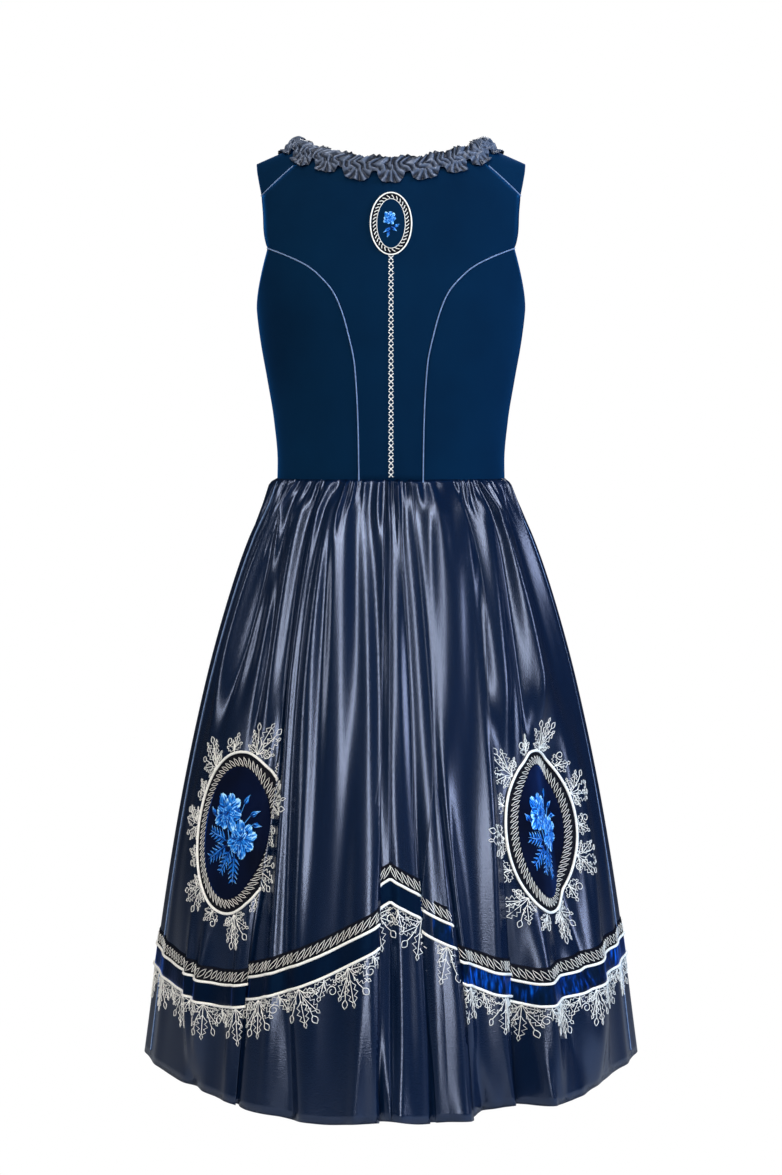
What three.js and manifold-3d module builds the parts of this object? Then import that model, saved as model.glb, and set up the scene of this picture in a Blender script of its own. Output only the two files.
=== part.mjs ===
// A sleeveless velvet and satin dirndl dress, filled out as it is worn, hollow inside.
//
// Units are millimetres, +Z is up. The back of the dress faces -Y, the wearer's right is +X.
// The origin is the middle of the shoulder line, where the wearer's shoulders carry the dress.
//
// The bodice is seven velvet panels, the skirt three gathered satin panels. A ruched trim runs round
// the neck, a fine piping lies on each shaping seam, and a velvet band and ovals are laid on the cloth.

import * as THREE from "three";
import { mergeVertices } from "three/addons/utils/BufferGeometryUtils.js";
import Module from "manifold-3d";

const wasm = await Module();
wasm.setup();

// ---------------------------------------------------------------- driving dimensions

const VELVET_WALL = 2.0;
const SATIN_WALL = 1.6;
const TRIM_WALL = 1.2;
const SEAM_GAP = 0.36;
const LAID_ON_GAP = 0.35;

const WAIST_Z = -394;
const SKIRT_DROP = 678;
const CHEST_Z = -110;
const UNDERARM_Z = -196;

const BACK_NECK_X = 88;
const PIPING_WIDTH = 2.4;
const PIPING_HEIGHT = 1.0;

// ---------------------------------------------------------------- small helpers

const radians = THREE.MathUtils.degToRad;
const degrees = THREE.MathUtils.radToDeg;
const clamp = THREE.MathUtils.clamp;
const lerp = THREE.MathUtils.lerp;
const smooth = (value, low, high) => THREE.MathUtils.smoothstep(value, low, high);

// A smooth curve through one column of a table, with no overshoot between its rows.
function columnCurve(rows, at, column) {
  const xs = rows.map((row) => row[at]);
  const ys = rows.map((row) => row[column]);
  const last = xs.length - 1;
  const rise = xs.slice(1).map((x, i) => (ys[i + 1] - ys[i]) / (x - xs[i]));
  const slope = xs.map((_, i) => {
    if (i === 0) return rise[0];
    if (i === last) return rise[last - 1];
    if (rise[i - 1] * rise[i] <= 0) return 0;
    return (2 * rise[i - 1] * rise[i]) / (rise[i - 1] + rise[i]);
  });
  return (x) => {
    let i = 0;
    while (i < last - 1 && (x - xs[i + 1]) * Math.sign(xs[1] - xs[0]) > 0) i += 1;
    const span = xs[i + 1] - xs[i];
    const u = clamp((x - xs[i]) / span, 0, 1);
    const cubic = (2 * u - 3) * u * u;
    const ends = ys[i] * (1 + cubic) - ys[i + 1] * cubic;
    const tangents = slope[i] * u * (1 - u) * (1 - u) - slope[i + 1] * u * u * (1 - u);
    return ends + span * tangents;
  };
}

// The outward normal of a surface at two parameters, from small steps each way.
function surfaceNormal(surface, a, b, stepA, stepB) {
  const alongA = surface(a + stepA, b).sub(surface(a - stepA, b));
  const alongB = surface(a, b + stepB).sub(surface(a, b - stepB));
  return alongA.cross(alongB).normalize();
}

// Closed geometry from vertices and faces, with its faces turned outwards.
function closedGeometry(vertices, faces) {
  let volume = 0;
  for (const [a, b, c] of faces) {
    volume += vertices[a].dot(vertices[b].clone().cross(vertices[c]));
  }
  const index = faces.flatMap(([a, b, c]) => (volume < 0 ? [a, c, b] : [a, b, c]));
  const geometry = new THREE.BufferGeometry().setFromPoints(vertices);
  geometry.setIndex(index);
  return geometry;
}

// A cloth wall on a grid of points with normals, from `inner` to `outer` mm along each normal.
// `around` joins the last column to the first.
function clothWall(grid, inner, outer, around = false) {
  const rows = grid.length;
  const columns = grid[0].length;
  const vertices = [];
  for (const level of [outer, inner]) {
    for (const row of grid) {
      for (const { point, normal } of row) vertices.push(point.clone().addScaledVector(normal, level));
    }
  }
  const at = (layer, j, i) => (layer * rows + j) * columns + (i % columns);
  const faces = [];
  const quad = (a, b, c, d) => faces.push([a, b, c], [a, c, d]);
  const cells = around ? columns : columns - 1;
  for (let j = 0; j < rows - 1; j += 1) {
    for (let i = 0; i < cells; i += 1) {
      quad(at(0, j, i), at(0, j, i + 1), at(0, j + 1, i + 1), at(0, j + 1, i));
      quad(at(1, j, i), at(1, j + 1, i), at(1, j + 1, i + 1), at(1, j, i + 1));
    }
  }
  for (let i = 0; i < cells; i += 1) {
    quad(at(0, 0, i + 1), at(0, 0, i), at(1, 0, i), at(1, 0, i + 1));
    quad(at(0, rows - 1, i), at(0, rows - 1, i + 1), at(1, rows - 1, i + 1), at(1, rows - 1, i));
  }
  if (!around) {
    for (let j = 0; j < rows - 1; j += 1) {
      quad(at(0, j, 0), at(0, j + 1, 0), at(1, j + 1, 0), at(1, j, 0));
      quad(at(0, j, columns - 1), at(1, j, columns - 1), at(1, j + 1, columns - 1), at(0, j + 1, columns - 1));
    }
  }
  return closedGeometry(vertices, faces);
}

// Moves the four edges of a panel's grid in by half the seam gap.
function trimForSeams(grid) {
  const pull = (edge, inside) => {
    const step = inside.point.clone().sub(edge.point).setLength(SEAM_GAP / 2);
    edge.point.add(step);
  };
  for (const row of grid) {
    pull(row[0], row[1]);
    pull(row[row.length - 1], row[row.length - 2]);
  }
  grid[0].forEach((edge, i) => pull(edge, grid[1][i]));
  grid[grid.length - 1].forEach((edge, i) => pull(edge, grid[grid.length - 2][i]));
  return grid;
}

const asSolid = (geometry) => {
  const bare = geometry.clone();
  bare.deleteAttribute("normal");
  bare.deleteAttribute("uv");
  const merged = mergeVertices(bare, 1e-4);
  const mesh = new wasm.Mesh({
    numProp: 3,
    vertProperties: new Float32Array(merged.getAttribute("position").array),
    triVerts: new Uint32Array(merged.index.array),
  });
  return new wasm.Manifold(mesh);
};

const asGeometry = (solid) => {
  const mesh = solid.getMesh();
  const geometry = new THREE.BufferGeometry();
  geometry.setAttribute("position", new THREE.BufferAttribute(mesh.vertProperties, 3));
  geometry.setIndex(new THREE.BufferAttribute(mesh.triVerts, 1));
  return geometry;
};

// ---------------------------------------------------------------- the bodice's form

// Sections below the chest line. The bust is the fullest part of the front.
const TORSO = [
  { z: WAIST_Z, halfWidth: 136, back: 93, front: 101 },
  { z: -370, halfWidth: 135.6, back: 94, front: 101 },
  { z: -321, halfWidth: 139.8, back: 98, front: 107 },
  { z: -273, halfWidth: 147.6, back: 103, front: 121 },
  { z: -225, halfWidth: 156, back: 108, front: 136 },
  { z: UNDERARM_Z, halfWidth: 159.6, back: 110, front: 136 },
  { z: -150, halfWidth: 163, back: 112, front: 126 },
  { z: CHEST_Z, halfWidth: 165, back: 112, front: 119 },
];
const torsoHalfWidth = columnCurve(TORSO, "z", "halfWidth");
const torsoBack = columnCurve(TORSO, "z", "back");
const torsoFront = columnCurve(TORSO, "z", "front");
const CHEST = TORSO[TORSO.length - 1];
const SIDE_FULLNESS = 0.85;

// Height of the shoulder line: it slopes from the neck to the shoulder tip.
const SHOULDER = { x: 104, z: 8, slope: 0.45, rounding: 50 };
function shoulderZ(x) {
  const run = Math.hypot(x, SHOULDER.rounding) - Math.hypot(SHOULDER.x, SHOULDER.rounding);
  return SHOULDER.z - SHOULDER.slope * run;
}

// One surface for the whole bodice. `side` is the angle across it, 0 at the centre and 90 degrees
// at the side seam. `over` runs up the front, over the shoulder and down the back: it is 0 at the
// front chest line, PI / 2 on the shoulder line and PI at the back chest line.
const OVER_UNIT = 110;
function bodiceSurface(side, over) {
  const isFront = over < Math.PI / 2;
  const below = isFront ? -over : over - Math.PI;
  const turn = Math.abs(side) > Math.PI / 2 ? -1 : 1;
  const depthShare = turn * Math.pow(Math.abs(Math.cos(side)), SIDE_FULLNESS);
  if (below > 0) {
    const z = CHEST_Z - below * OVER_UNIT;
    const near = isFront ? torsoFront(z) : -torsoBack(z);
    const far = isFront ? -torsoBack(z) : torsoFront(z);
    const depth = turn > 0 ? near : -far;
    return new THREE.Vector3(torsoHalfWidth(z) * Math.sin(side), depth * depthShare, z);
  }
  const x = CHEST.halfWidth * Math.sin(side);
  const depth = isFront ? CHEST.front : CHEST.back;
  return new THREE.Vector3(
    x,
    depth * depthShare * Math.cos(over),
    lerp(CHEST_Z, shoulderZ(x), Math.sin(over)),
  );
}

// Front height to `over`, and back height to `over`, at a distance x from the centre.
function overFront(x, z) {
  if (z < CHEST_Z) return (z - CHEST_Z) / OVER_UNIT;
  return Math.asin((z - CHEST_Z) / (shoulderZ(x) - CHEST_Z));
}
const overBack = (x, z) => Math.PI - overFront(x, z);

function sideAt(x, over) {
  const below = Math.max(-over, over - Math.PI, 0);
  return Math.asin(clamp(x / torsoHalfWidth(CHEST_Z - below * OVER_UNIT), -1, 1));
}

// A grid point of the bodice with its outward normal.
function bodicePoint(side, over) {
  const point = bodiceSurface(side, over);
  const normal = surfaceNormal(bodiceSurface, side, over, 0.004, 0.004).negate();
  const isWaist = Math.abs(point.z - WAIST_Z) < 0.5;
  if (isWaist) normal.setZ(0).normalize();
  return { point, normal };
}

// Mirrors a grid from the wearer's right to the left.
const mirrored = (grid) =>
  grid.map((row) =>
    row.map(({ point, normal }) => ({
      point: point.clone().setX(-point.x),
      normal: normal.clone().setX(-normal.x),
    })),
  );

// ---------------------------------------------------------------- the bodice's cutting lines

// The curved back seam, from the waist out to the armhole, with the height of the same pattern
// row on the centre back.
const BACK_SEAM = [
  { x: 37, z: WAIST_Z, centreZ: WAIST_Z },
  { x: 37.5, z: -350, centreZ: -352 },
  { x: 38.5, z: -310, centreZ: -314 },
  { x: 42, z: -257, centreZ: -264 },
  { x: 48.5, z: -225, centreZ: -234 },
  { x: 57, z: -195, centreZ: -207 },
  { x: 66, z: -175, centreZ: -186 },
  { x: 80, z: -158, centreZ: -168 },
  { x: 95, z: -145, centreZ: -152 },
  { x: 115, z: -134, centreZ: -137 },
  { x: 144, z: -121, centreZ: -119 },
];
// The back panel's armhole edge above that seam.
const BACK_ARMHOLE = [
  { x: 149, z: -100, centreZ: -101 },
  { x: 150, z: -80, centreZ: -83 },
];
// The shoulder seam lies on the back: from the neck edge out and down to the armhole.
const SHOULDER_SEAM = { neckX: BACK_NECK_X, neckOver: 2.109, armX: 152, armOver: 2.587, steps: 6 };
const BACK_NECK_OVER = 2.43;
const NECK_DIP = 2.35;
// The front seam, from the waist over the bust to the armhole.
const FRONT_SEAM = [
  { x: 72, z: WAIST_Z, centreZ: WAIST_Z },
  { x: 74, z: -352, centreZ: -354 },
  { x: 78, z: -312, centreZ: -318 },
  { x: 84, z: -272, centreZ: -284 },
  { x: 91, z: -237, centreZ: -254 },
  { x: 97, z: -207, centreZ: -227 },
  { x: 104, z: -183, centreZ: -203 },
  { x: 114, z: -163, centreZ: -180 },
  { x: 125, z: -148, centreZ: -158 },
  { x: 136, z: -135, centreZ: -136 },
  { x: 146, z: -124, centreZ: -113.3 },
];
// The front panel's armhole edge, up over the shoulder tip to the shoulder seam on the back.
const FRONT_ARMHOLE = [
  { x: 146, over: 0.1 },
  { x: 148, over: 0.38 },
  { x: 152.5, over: 0.7 },
  { x: 157.5, over: 1.05 },
  { x: 160, over: 1.38 },
  { x: 160, over: 1.72 },
  { x: 159, over: 2.03 },
  { x: 156, over: 2.33 },
  { x: SHOULDER_SEAM.armX, over: SHOULDER_SEAM.armOver },
];
// The neck edge from the shoulder seam over the shoulder to the centre front.
const FRONT_NECK = [
  { x: SHOULDER_SEAM.neckX, over: SHOULDER_SEAM.neckOver },
  { x: 99.5, over: 1.86 },
  { x: 104, over: 1.57 },
  { x: 104, over: 1.25 },
  { x: 101, over: 0.93 },
  { x: 93, over: 0.62 },
  { x: 78, over: 0.34 },
  { x: 55, over: 0.13 },
  { x: 28, over: 0.0 },
  { x: 0, over: -0.03 },
];
const SEAM_ROWS = BACK_SEAM.length - 1;

const sideSeamZ = (row) => lerp(WAIST_Z, UNDERARM_Z, row / SEAM_ROWS);
const backNeckOver = (share) =>
  lerp(BACK_NECK_OVER, SHOULDER_SEAM.neckOver, Math.pow(Math.abs(share), NECK_DIP));

// A row of the back panel, spread over both halves: `share` runs from -1 to 1.
function backRow(edgeX, edgeOver, centreOver, columns) {
  return Array.from({ length: columns + 1 }, (_, i) => {
    const share = (2 * i) / columns - 1;
    const over = lerp(centreOver, edgeOver, Math.pow(Math.abs(share), NECK_DIP));
    return bodicePoint(sideAt(share * edgeX, over), over);
  });
}

function backPanel() {
  const columns = 14;
  const rows = [...BACK_SEAM, ...BACK_ARMHOLE].map(({ x, z, centreZ }) =>
    backRow(x, overBack(x, z), overBack(0, centreZ), columns),
  );
  const lastCentreOver = overBack(0, BACK_ARMHOLE[BACK_ARMHOLE.length - 1].centreZ);
  for (let k = 0; k <= SHOULDER_SEAM.steps; k += 1) {
    const share = 1 - k / SHOULDER_SEAM.steps;
    const x = lerp(SHOULDER_SEAM.neckX, SHOULDER_SEAM.armX, share);
    const over = lerp(SHOULDER_SEAM.neckOver, SHOULDER_SEAM.armOver, share);
    const rise = (k + 1) / (SHOULDER_SEAM.steps + 1);
    rows.push(backRow(x, over, lerp(lastCentreOver, BACK_NECK_OVER, rise), columns));
  }
  return trimForSeams(rows);
}

// A side panel between a shaping seam and the side seam; its top edge is the foot of the armhole.
function sidePanel(seam, isFront) {
  const columns = 6;
  const armholeSag = 10;
  const overOf = isFront ? overFront : overBack;
  const rows = seam.map(({ x, z }, j) => {
    const innerOver = overOf(x, z);
    const outerOver = overOf(0, sideSeamZ(j));
    const inner = sideAt(x, innerOver);
    const sag = ((isFront ? -1 : 1) * armholeSag * Math.pow(j / SEAM_ROWS, 3)) / OVER_UNIT;
    return Array.from({ length: columns + 1 }, (_, i) => {
      const w = i / columns;
      const over = lerp(innerOver, outerOver, w) + sag * 4 * w * (1 - w);
      return bodicePoint(lerp(inner, Math.PI / 2, w), over);
    });
  });
  return trimForSeams(rows);
}

// Half of the front: from the centre front to the front seam, up over the shoulder to the back.
function frontPanel() {
  const columns = SHOULDER_SEAM.steps;
  const row = (inner, outer) =>
    Array.from({ length: columns + 1 }, (_, i) => {
      const w = i / columns;
      const over = lerp(inner.over, outer.over, w);
      return bodicePoint(sideAt(lerp(inner.x, outer.x, w), over), over);
    });
  const rows = FRONT_SEAM.map(({ x, z, centreZ }) =>
    row({ x: 0, over: overFront(0, centreZ) }, { x, over: overFront(x, z) }),
  );
  const neck = FRONT_NECK.slice(0, -1).reverse();
  neck.forEach((inner, k) => rows.push(row(inner, FRONT_ARMHOLE[k])));
  return trimForSeams(rows);
}

// ---------------------------------------------------------------- piping on the shaping seams

// A rounded strip that lies on the bodice along a line of (side, over) pairs.
function pipingStrip(line) {
  const centre = line.map(({ side, over }) => bodicePoint(side, over));
  const grid = centre.map(({ point, normal }, i) => {
    const ahead = centre[Math.min(i + 1, centre.length - 1)].point;
    const behind = centre[Math.max(i - 1, 0)].point;
    const across = ahead.clone().sub(behind).cross(normal).normalize();
    return [-1, 0, 1].map((share) => ({
      point: point
        .clone()
        .addScaledVector(across, (share * PIPING_WIDTH) / 2)
        .addScaledVector(normal, share === 0 ? 0.35 : 0),
      normal,
    }));
  });
  return clothWall(grid, LAID_ON_GAP, LAID_ON_GAP + PIPING_HEIGHT);
}

const seamLine = (seam, overOf) =>
  seam.map(({ x, z }) => {
    const over = overOf(x, z);
    return { side: sideAt(x, over), over };
  });

function shoulderSeamLine() {
  const line = [];
  for (let k = 3; k <= SHOULDER_SEAM.steps; k += 1) {
    const share = k / SHOULDER_SEAM.steps;
    const over = lerp(SHOULDER_SEAM.neckOver, SHOULDER_SEAM.armOver, share);
    line.push({ side: sideAt(lerp(SHOULDER_SEAM.neckX, SHOULDER_SEAM.armX, share), over), over });
  }
  return line;
}

// ---------------------------------------------------------------- the ruched neck trim

// Box-pleated ribbon whose pleat edges are caught together: a row of small chevron folds with
// scalloped lobes along both edges.
const RUCHE = { width: 33, chevrons: 68, lobes: 17, rise: 3.6, foldDepth: 2.4, lobe: 5.5 };
const RUCHE_ACROSS = [
  { share: 0.0, height: 0.0, lean: 0.5 },
  { share: 0.25, height: 0.75, lean: 0.25 },
  { share: 0.5, height: 1.0, lean: 0.0 },
  { share: 0.75, height: 0.75, lean: 0.25 },
  { share: 1.0, height: 0.0, lean: 0.5 },
];

// The whole neck edge as a closed curve in (x, over), starting at the centre back.
function neckEdge() {
  const backSteps = 4;
  const half = [];
  for (let k = 0; k < backSteps; k += 1) {
    const share = k / backSteps;
    half.push(new THREE.Vector3(share * BACK_NECK_X, 0, backNeckOver(share)));
  }
  FRONT_NECK.forEach(({ x, over }) => half.push(new THREE.Vector3(x, 0, over)));
  const otherHalf = half.slice(1, -1).reverse().map(({ x, z }) => new THREE.Vector3(-x, 0, z));
  return new THREE.CatmullRomCurve3([...half, ...otherHalf], true, "centripetal");
}

// Walks `distance` mm over the bodice from a point of the neck edge, square to the edge.
function walkFromNeck(side, over, along, distance) {
  const step = 0.002;
  const pieces = 4;
  let [a, b] = [side, over];
  for (let k = 0; k < pieces; k += 1) {
    const da = bodiceSurface(a + step, b).sub(bodiceSurface(a - step, b)).divideScalar(2 * step);
    const db = bodiceSurface(a, b + step).sub(bodiceSurface(a, b - step)).divideScalar(2 * step);
    const normal = da.clone().cross(db).normalize();
    const away = normal.clone().cross(along).normalize();
    const [aa, ab, bb] = [da.dot(da), da.dot(db), db.dot(db)];
    const [ra, rb] = [away.dot(da), away.dot(db)];
    const scale = distance / pieces / (aa * bb - ab * ab);
    a += scale * (ra * bb - rb * ab);
    b += scale * (rb * aa - ra * ab);
  }
  return bodicePoint(a, b);
}

function neckTrim() {
  const edge = neckEdge();
  const fine = 720;
  const samples = edge.getPoints(fine).map(({ x, z }) => ({ side: sideAt(x, z), over: z }));
  const points = samples.map(({ side, over }) => bodiceSurface(side, over));
  const length = [0];
  for (let i = 1; i < points.length; i += 1) length.push(length[i - 1] + points[i].distanceTo(points[i - 1]));
  const total = length[fine];
  const atLength = (distance) => {
    const wanted = ((distance % total) + total) % total;
    let i = 1;
    while (length[i] < wanted) i += 1;
    const share = (wanted - length[i - 1]) / (length[i] - length[i - 1]);
    return {
      side: lerp(samples[i - 1].side, samples[i].side, share),
      over: lerp(samples[i - 1].over, samples[i].over, share),
      along: points[i].clone().sub(points[i - 1]).normalize(),
    };
  };
  const pitch = total / RUCHE.chevrons;
  const steps = 2 * RUCHE.chevrons;
  const rows = RUCHE_ACROSS.map(({ share, height, lean }) =>
    Array.from({ length: steps }, (_, i) => {
      const distance = (i / 2 + lean) * pitch;
      const { side, over, along } = atLength(distance);
      const lobe = Math.abs(Math.cos((Math.PI * RUCHE.lobes * distance) / total));
      const reach = share === 1 ? RUCHE.lobe * (lobe - 0.5) : 0;
      const { point, normal } = walkFromNeck(side, over, along, share * RUCHE.width + reach - 2);
      const fold = i % 2 === 0 ? RUCHE.foldDepth : 0;
      return { point: point.addScaledVector(normal, height * RUCHE.rise + fold), normal };
    }),
  );
  return clothWall(rows, LAID_ON_GAP, LAID_ON_GAP + TRIM_WALL, true);
}

// ---------------------------------------------------------------- the skirt's form

// How far the skirt has flared from its waist size to its hem size, by the share of its drop.
const FLARE = [
  { drop: 0, flare: 0 },
  { drop: 0.035, flare: 0.075 },
  { drop: 0.1, flare: 0.205 },
  { drop: 0.212, flare: 0.37 },
  { drop: 0.353, flare: 0.535 },
  { drop: 0.566, flare: 0.728 },
  { drop: 0.78, flare: 0.878 },
  { drop: 1, flare: 1 },
];
const flareAt = columnCurve(FLARE, "drop", "flare");
const SKIRT_WAIST = { halfWidth: 136.4, back: 93.4, front: 101.4 };
const SKIRT_HEM = { halfWidth: 292, back: 287, front: 287 };

// The folds of the back, by their angle from the centre back at the hem, the middle and the waist.
// `top`, `middle` and `low` are each fold's height in mm: a minus sign is a tuck that takes cloth in.
// `width` is its half width at the hem. Between two folds the threads of the cloth are spread evenly.
const BACK_FOLDS = [
  { hem: -84, mid: -83, waist: -80, top: 3, middle: 3, low: 4, width: 16 },
  { hem: -73, mid: -71, waist: -68, top: 3, middle: 4, low: 2, width: 14 },
  { hem: -62, mid: -60.5, waist: -59, top: 4, middle: 6, low: 2, width: 16 },
  { hem: -50, mid: -49, waist: -51, top: 4, middle: 0, low: 0, width: 9 },
  { hem: -36, mid: -36.5, waist: -44, top: 0, middle: -2, low: -14, width: 5 },
  { hem: -29.5, mid: -33.5, waist: -40, top: 4, middle: 6, low: 9, width: 17 },
  { hem: -25, mid: -28.7, waist: -30.5, top: 4, middle: 6, low: 6, width: 16 },
  { hem: -20, mid: -21.5, waist: -24.3, top: 4, middle: 6, low: 2, width: 14 },
  { hem: -12, mid: -14.5, waist: -18.5, top: 4, middle: 7, low: 0, width: 16 },
  { hem: -6.2, mid: -6.8, waist: -12.6, top: 4, middle: 6, low: 9, width: 11 },
  { hem: -2.4, mid: -2.4, waist: -2, top: 0, middle: -3, low: -38, width: 4.5 },
  { hem: 1.2, mid: 0.9, waist: 1, top: 4, middle: 6, low: 8, width: 12 },
  { hem: 8, mid: 6, waist: 3.8, top: 0, middle: -2, low: -13, width: 5 },
  { hem: 11.2, mid: 8.3, waist: 6.5, top: 4, middle: 6, low: 10, width: 13 },
  { hem: 17, mid: 11.5, waist: 10, top: 0, middle: -3, low: -36, width: 4.5 },
  { hem: 19.4, mid: 13.2, waist: 15.5, top: 4, middle: 5, low: 0, width: 12 },
  { hem: 21, mid: 16.6, waist: 21, top: 4, middle: 5, low: 0, width: 12 },
  { hem: 23.2, mid: 24.8, waist: 31, top: 4, middle: 6, low: 8, width: 15 },
  { hem: 30.5, mid: 28, waist: 36, top: 0, middle: -2, low: -13, width: 5 },
  { hem: 32.6, mid: 31, waist: 40, top: 4, middle: 6, low: 0, width: 13 },
  { hem: 36.5, mid: 37.8, waist: 44.5, top: 4, middle: 4, low: 9, width: 11 },
  { hem: 44, mid: 44.7, waist: 50, top: 4, middle: 6, low: 0, width: 14 },
  { hem: 50, mid: 50.5, waist: 57, top: 4, middle: 6, low: 2, width: 14 },
  { hem: 60, mid: 59, waist: 67, top: 4, middle: 6, low: 3, width: 18 },
  { hem: 73, mid: 73, waist: 76, top: 3, middle: 4, low: 3, width: 14 },
  { hem: 84, mid: 84, waist: 84, top: 3, middle: 3, low: 4, width: 16 },
];
// The front hangs in like folds, a little shallower, turned half round and with no tucks.
const FRONT_SPREAD = 0.94;
const FRONT_DEPTH = 0.8;
const halfTurn = (angle) => (angle < 0 ? 180 + angle * FRONT_SPREAD : -180 + angle * FRONT_SPREAD);
const frontFold = (fold) => ({
  ...fold,
  hem: halfTurn(fold.hem),
  mid: halfTurn(fold.mid),
  waist: halfTurn(fold.waist),
  top: fold.top,
  middle: fold.middle * FRONT_DEPTH,
  low: fold.low * FRONT_DEPTH,
});
const FRONT_FOLDS = BACK_FOLDS.filter((fold) => fold.low >= 0).map(frontFold);
const FOLDS = [...BACK_FOLDS, ...FRONT_FOLDS].sort((a, b) => a.hem - b.hem);
const LOW_FOLD_START = 0.45;
const MID_DROP = 0.4;

// The path of a fold down the skirt, from its three angles.
function foldAngle(fold, drop) {
  const upper = smooth(drop, 0, MID_DROP);
  const lower = smooth(drop, MID_DROP, 1);
  return drop < MID_DROP ? lerp(fold.waist, fold.mid, upper) : lerp(fold.mid, fold.hem, lower);
}

// The angle, at a share of the drop, of the thread that meets the hem at angle `thread`.
function threadAngle(thread, drop) {
  let i = FOLDS.findIndex((fold) => fold.hem > thread);
  if (i < 0) i = FOLDS.length;
  const before = FOLDS[(i + FOLDS.length - 1) % FOLDS.length];
  const after = FOLDS[i % FOLDS.length];
  const wrapBefore = i === 0 ? -360 : 0;
  const wrapAfter = i === FOLDS.length ? 360 : 0;
  const low = before.hem + wrapBefore;
  const share = (thread - low) / (after.hem + wrapAfter - low);
  return lerp(foldAngle(before, drop) + wrapBefore, foldAngle(after, drop) + wrapAfter, share);
}

const GATHERS = 62;
const GATHER_HEIGHT = 2.6;
const GATHER_FADE = 0.045;
// How far the hem stands out of its plain oval, by the angle from the centre back.
const HEM_FORM = [
  { angle: -180, out: 0 },
  { angle: -110, out: 0 },
  { angle: -84, out: -1 },
  { angle: -60, out: -10 },
  { angle: -45, out: -9 },
  { angle: -38, out: -2 },
  { angle: -32, out: 8 },
  { angle: -25, out: 10 },
  { angle: -20, out: 18 },
  { angle: -14, out: 20 },
  { angle: -8, out: 14 },
  { angle: 0, out: 5 },
  { angle: 6, out: 12 },
  { angle: 12, out: 10 },
  { angle: 16, out: 12 },
  { angle: 20, out: -12 },
  { angle: 23, out: -20 },
  { angle: 28, out: -25 },
  { angle: 32, out: -13 },
  { angle: 35.5, out: 4 },
  { angle: 40, out: 6 },
  { angle: 46, out: 0 },
  { angle: 53, out: -8 },
  { angle: 62, out: -12 },
  { angle: 84, out: -1 },
  { angle: 110, out: 0 },
  { angle: 180, out: 0 },
];
const hemForm = columnCurve(HEM_FORM, "angle", "out");
const HEM_FORM_START = 0.5;
const SEAM_CATCH = 0.02;
const foldHeight = (fold, drop) => {
  const upper = lerp(fold.top, fold.middle, smooth(drop, 0, MID_DROP));
  const deepest = fold.low < 0 ? lerp(1, 0.35, smooth(drop, 0.86, 1)) : 1;
  return lerp(upper, fold.low * deepest, smooth(drop, LOW_FOLD_START, 0.75));
};

// How far the cloth stands out from the plain flared form, in mm.
function foldRelief(angle, drop) {
  const flare = flareAt(drop);
  const mmPerDegree = radians(lerp(SKIRT_WAIST.halfWidth, SKIRT_HEM.halfWidth, flare));
  let relief = 0;
  for (const fold of FOLDS) {
    const turn = ((angle - foldAngle(fold, drop) + 540) % 360) - 180;
    const width = fold.low < 0 ? fold.width : lerp(4.8, fold.width, Math.sqrt(drop));
    const away = (turn * mmPerDegree) / width;
    if (Math.abs(away) < 4) relief += foldHeight(fold, drop) * Math.exp(-away * away);
  }
  const gather = Math.cos(radians(angle) * GATHERS);
  relief += GATHER_HEIGHT * (gather + 0.4) * Math.exp(-drop / GATHER_FADE);
  relief *= smooth(drop, 0, SEAM_CATCH);
  return relief + hemForm(((angle + 540) % 360) - 180) * smooth(drop, HEM_FORM_START, 1);
}

// The skirt's outer face, by the thread's angle at the hem and the share of the drop.
function skirtSurface(thread, drop) {
  const degreesRound = threadAngle(thread, drop);
  const angle = radians(degreesRound);
  const flare = flareAt(drop);
  const halfWidth = lerp(SKIRT_WAIST.halfWidth, SKIRT_HEM.halfWidth, flare);
  const isBack = Math.cos(angle) > 0;
  const side = isBack ? "back" : "front";
  const depth = lerp(SKIRT_WAIST[side], SKIRT_HEM[side], flare);
  const relief = foldRelief(degreesRound, drop);
  const fullness = lerp(SIDE_FULLNESS, 1, smooth(drop, 0, 0.3));
  const depthShare = Math.sign(Math.cos(angle)) * Math.pow(Math.abs(Math.cos(angle)), fullness);
  const outX = Math.sin(angle) * depth;
  const outY = -Math.cos(angle) * halfWidth;
  const scale = relief / Math.hypot(outX, outY);
  return new THREE.Vector3(
    halfWidth * Math.sin(angle) + outX * scale,
    -depth * depthShare + outY * scale,
    WAIST_Z - drop * SKIRT_DROP,
  );
}

// ---------------------------------------------------------------- the skirt's threads and rows

// Threads that bound the panels: the centre back seam and the two side seams.
const SIDE_SEAM_ANGLE = 78.5;
const CENTRE_BACK_ANGLE = 0;
const BACK_SPACING = 3.4;
const FRONT_SPACING = 4.6;
const TUCK_THREADS = [-1.9, -0.95, 0, 0.95, 1.9];

// Hem angles of all threads: five through each tuck, one on each ridge, and even ones between.
function threadAngles() {
  const mmPerDegree = radians(SKIRT_HEM.halfWidth);
  const fixed = [-SIDE_SEAM_ANGLE, CENTRE_BACK_ANGLE, SIDE_SEAM_ANGLE];
  for (const fold of FOLDS) {
    const offsets = fold.low < 0 ? TUCK_THREADS.map((share) => (share * fold.width) / mmPerDegree) : [0];
    offsets.forEach((offset) => fixed.push(fold.hem + offset));
  }
  fixed.sort((a, b) => a - b);
  const spread = [];
  fixed.forEach((angle, i) => {
    const next = i + 1 < fixed.length ? fixed[i + 1] : fixed[0] + 360;
    const gap = next - angle;
    const inTuck = gap < 1.05;
    const spacing = Math.abs(angle) < 90 ? BACK_SPACING : FRONT_SPACING;
    const pieces = inTuck ? 1 : Math.max(1, Math.round(gap / spacing));
    for (let k = 0; k < pieces; k += 1) spread.push(angle + (gap * k) / pieces);
  });
  return spread;
}
const THREADS = threadAngles();

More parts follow.
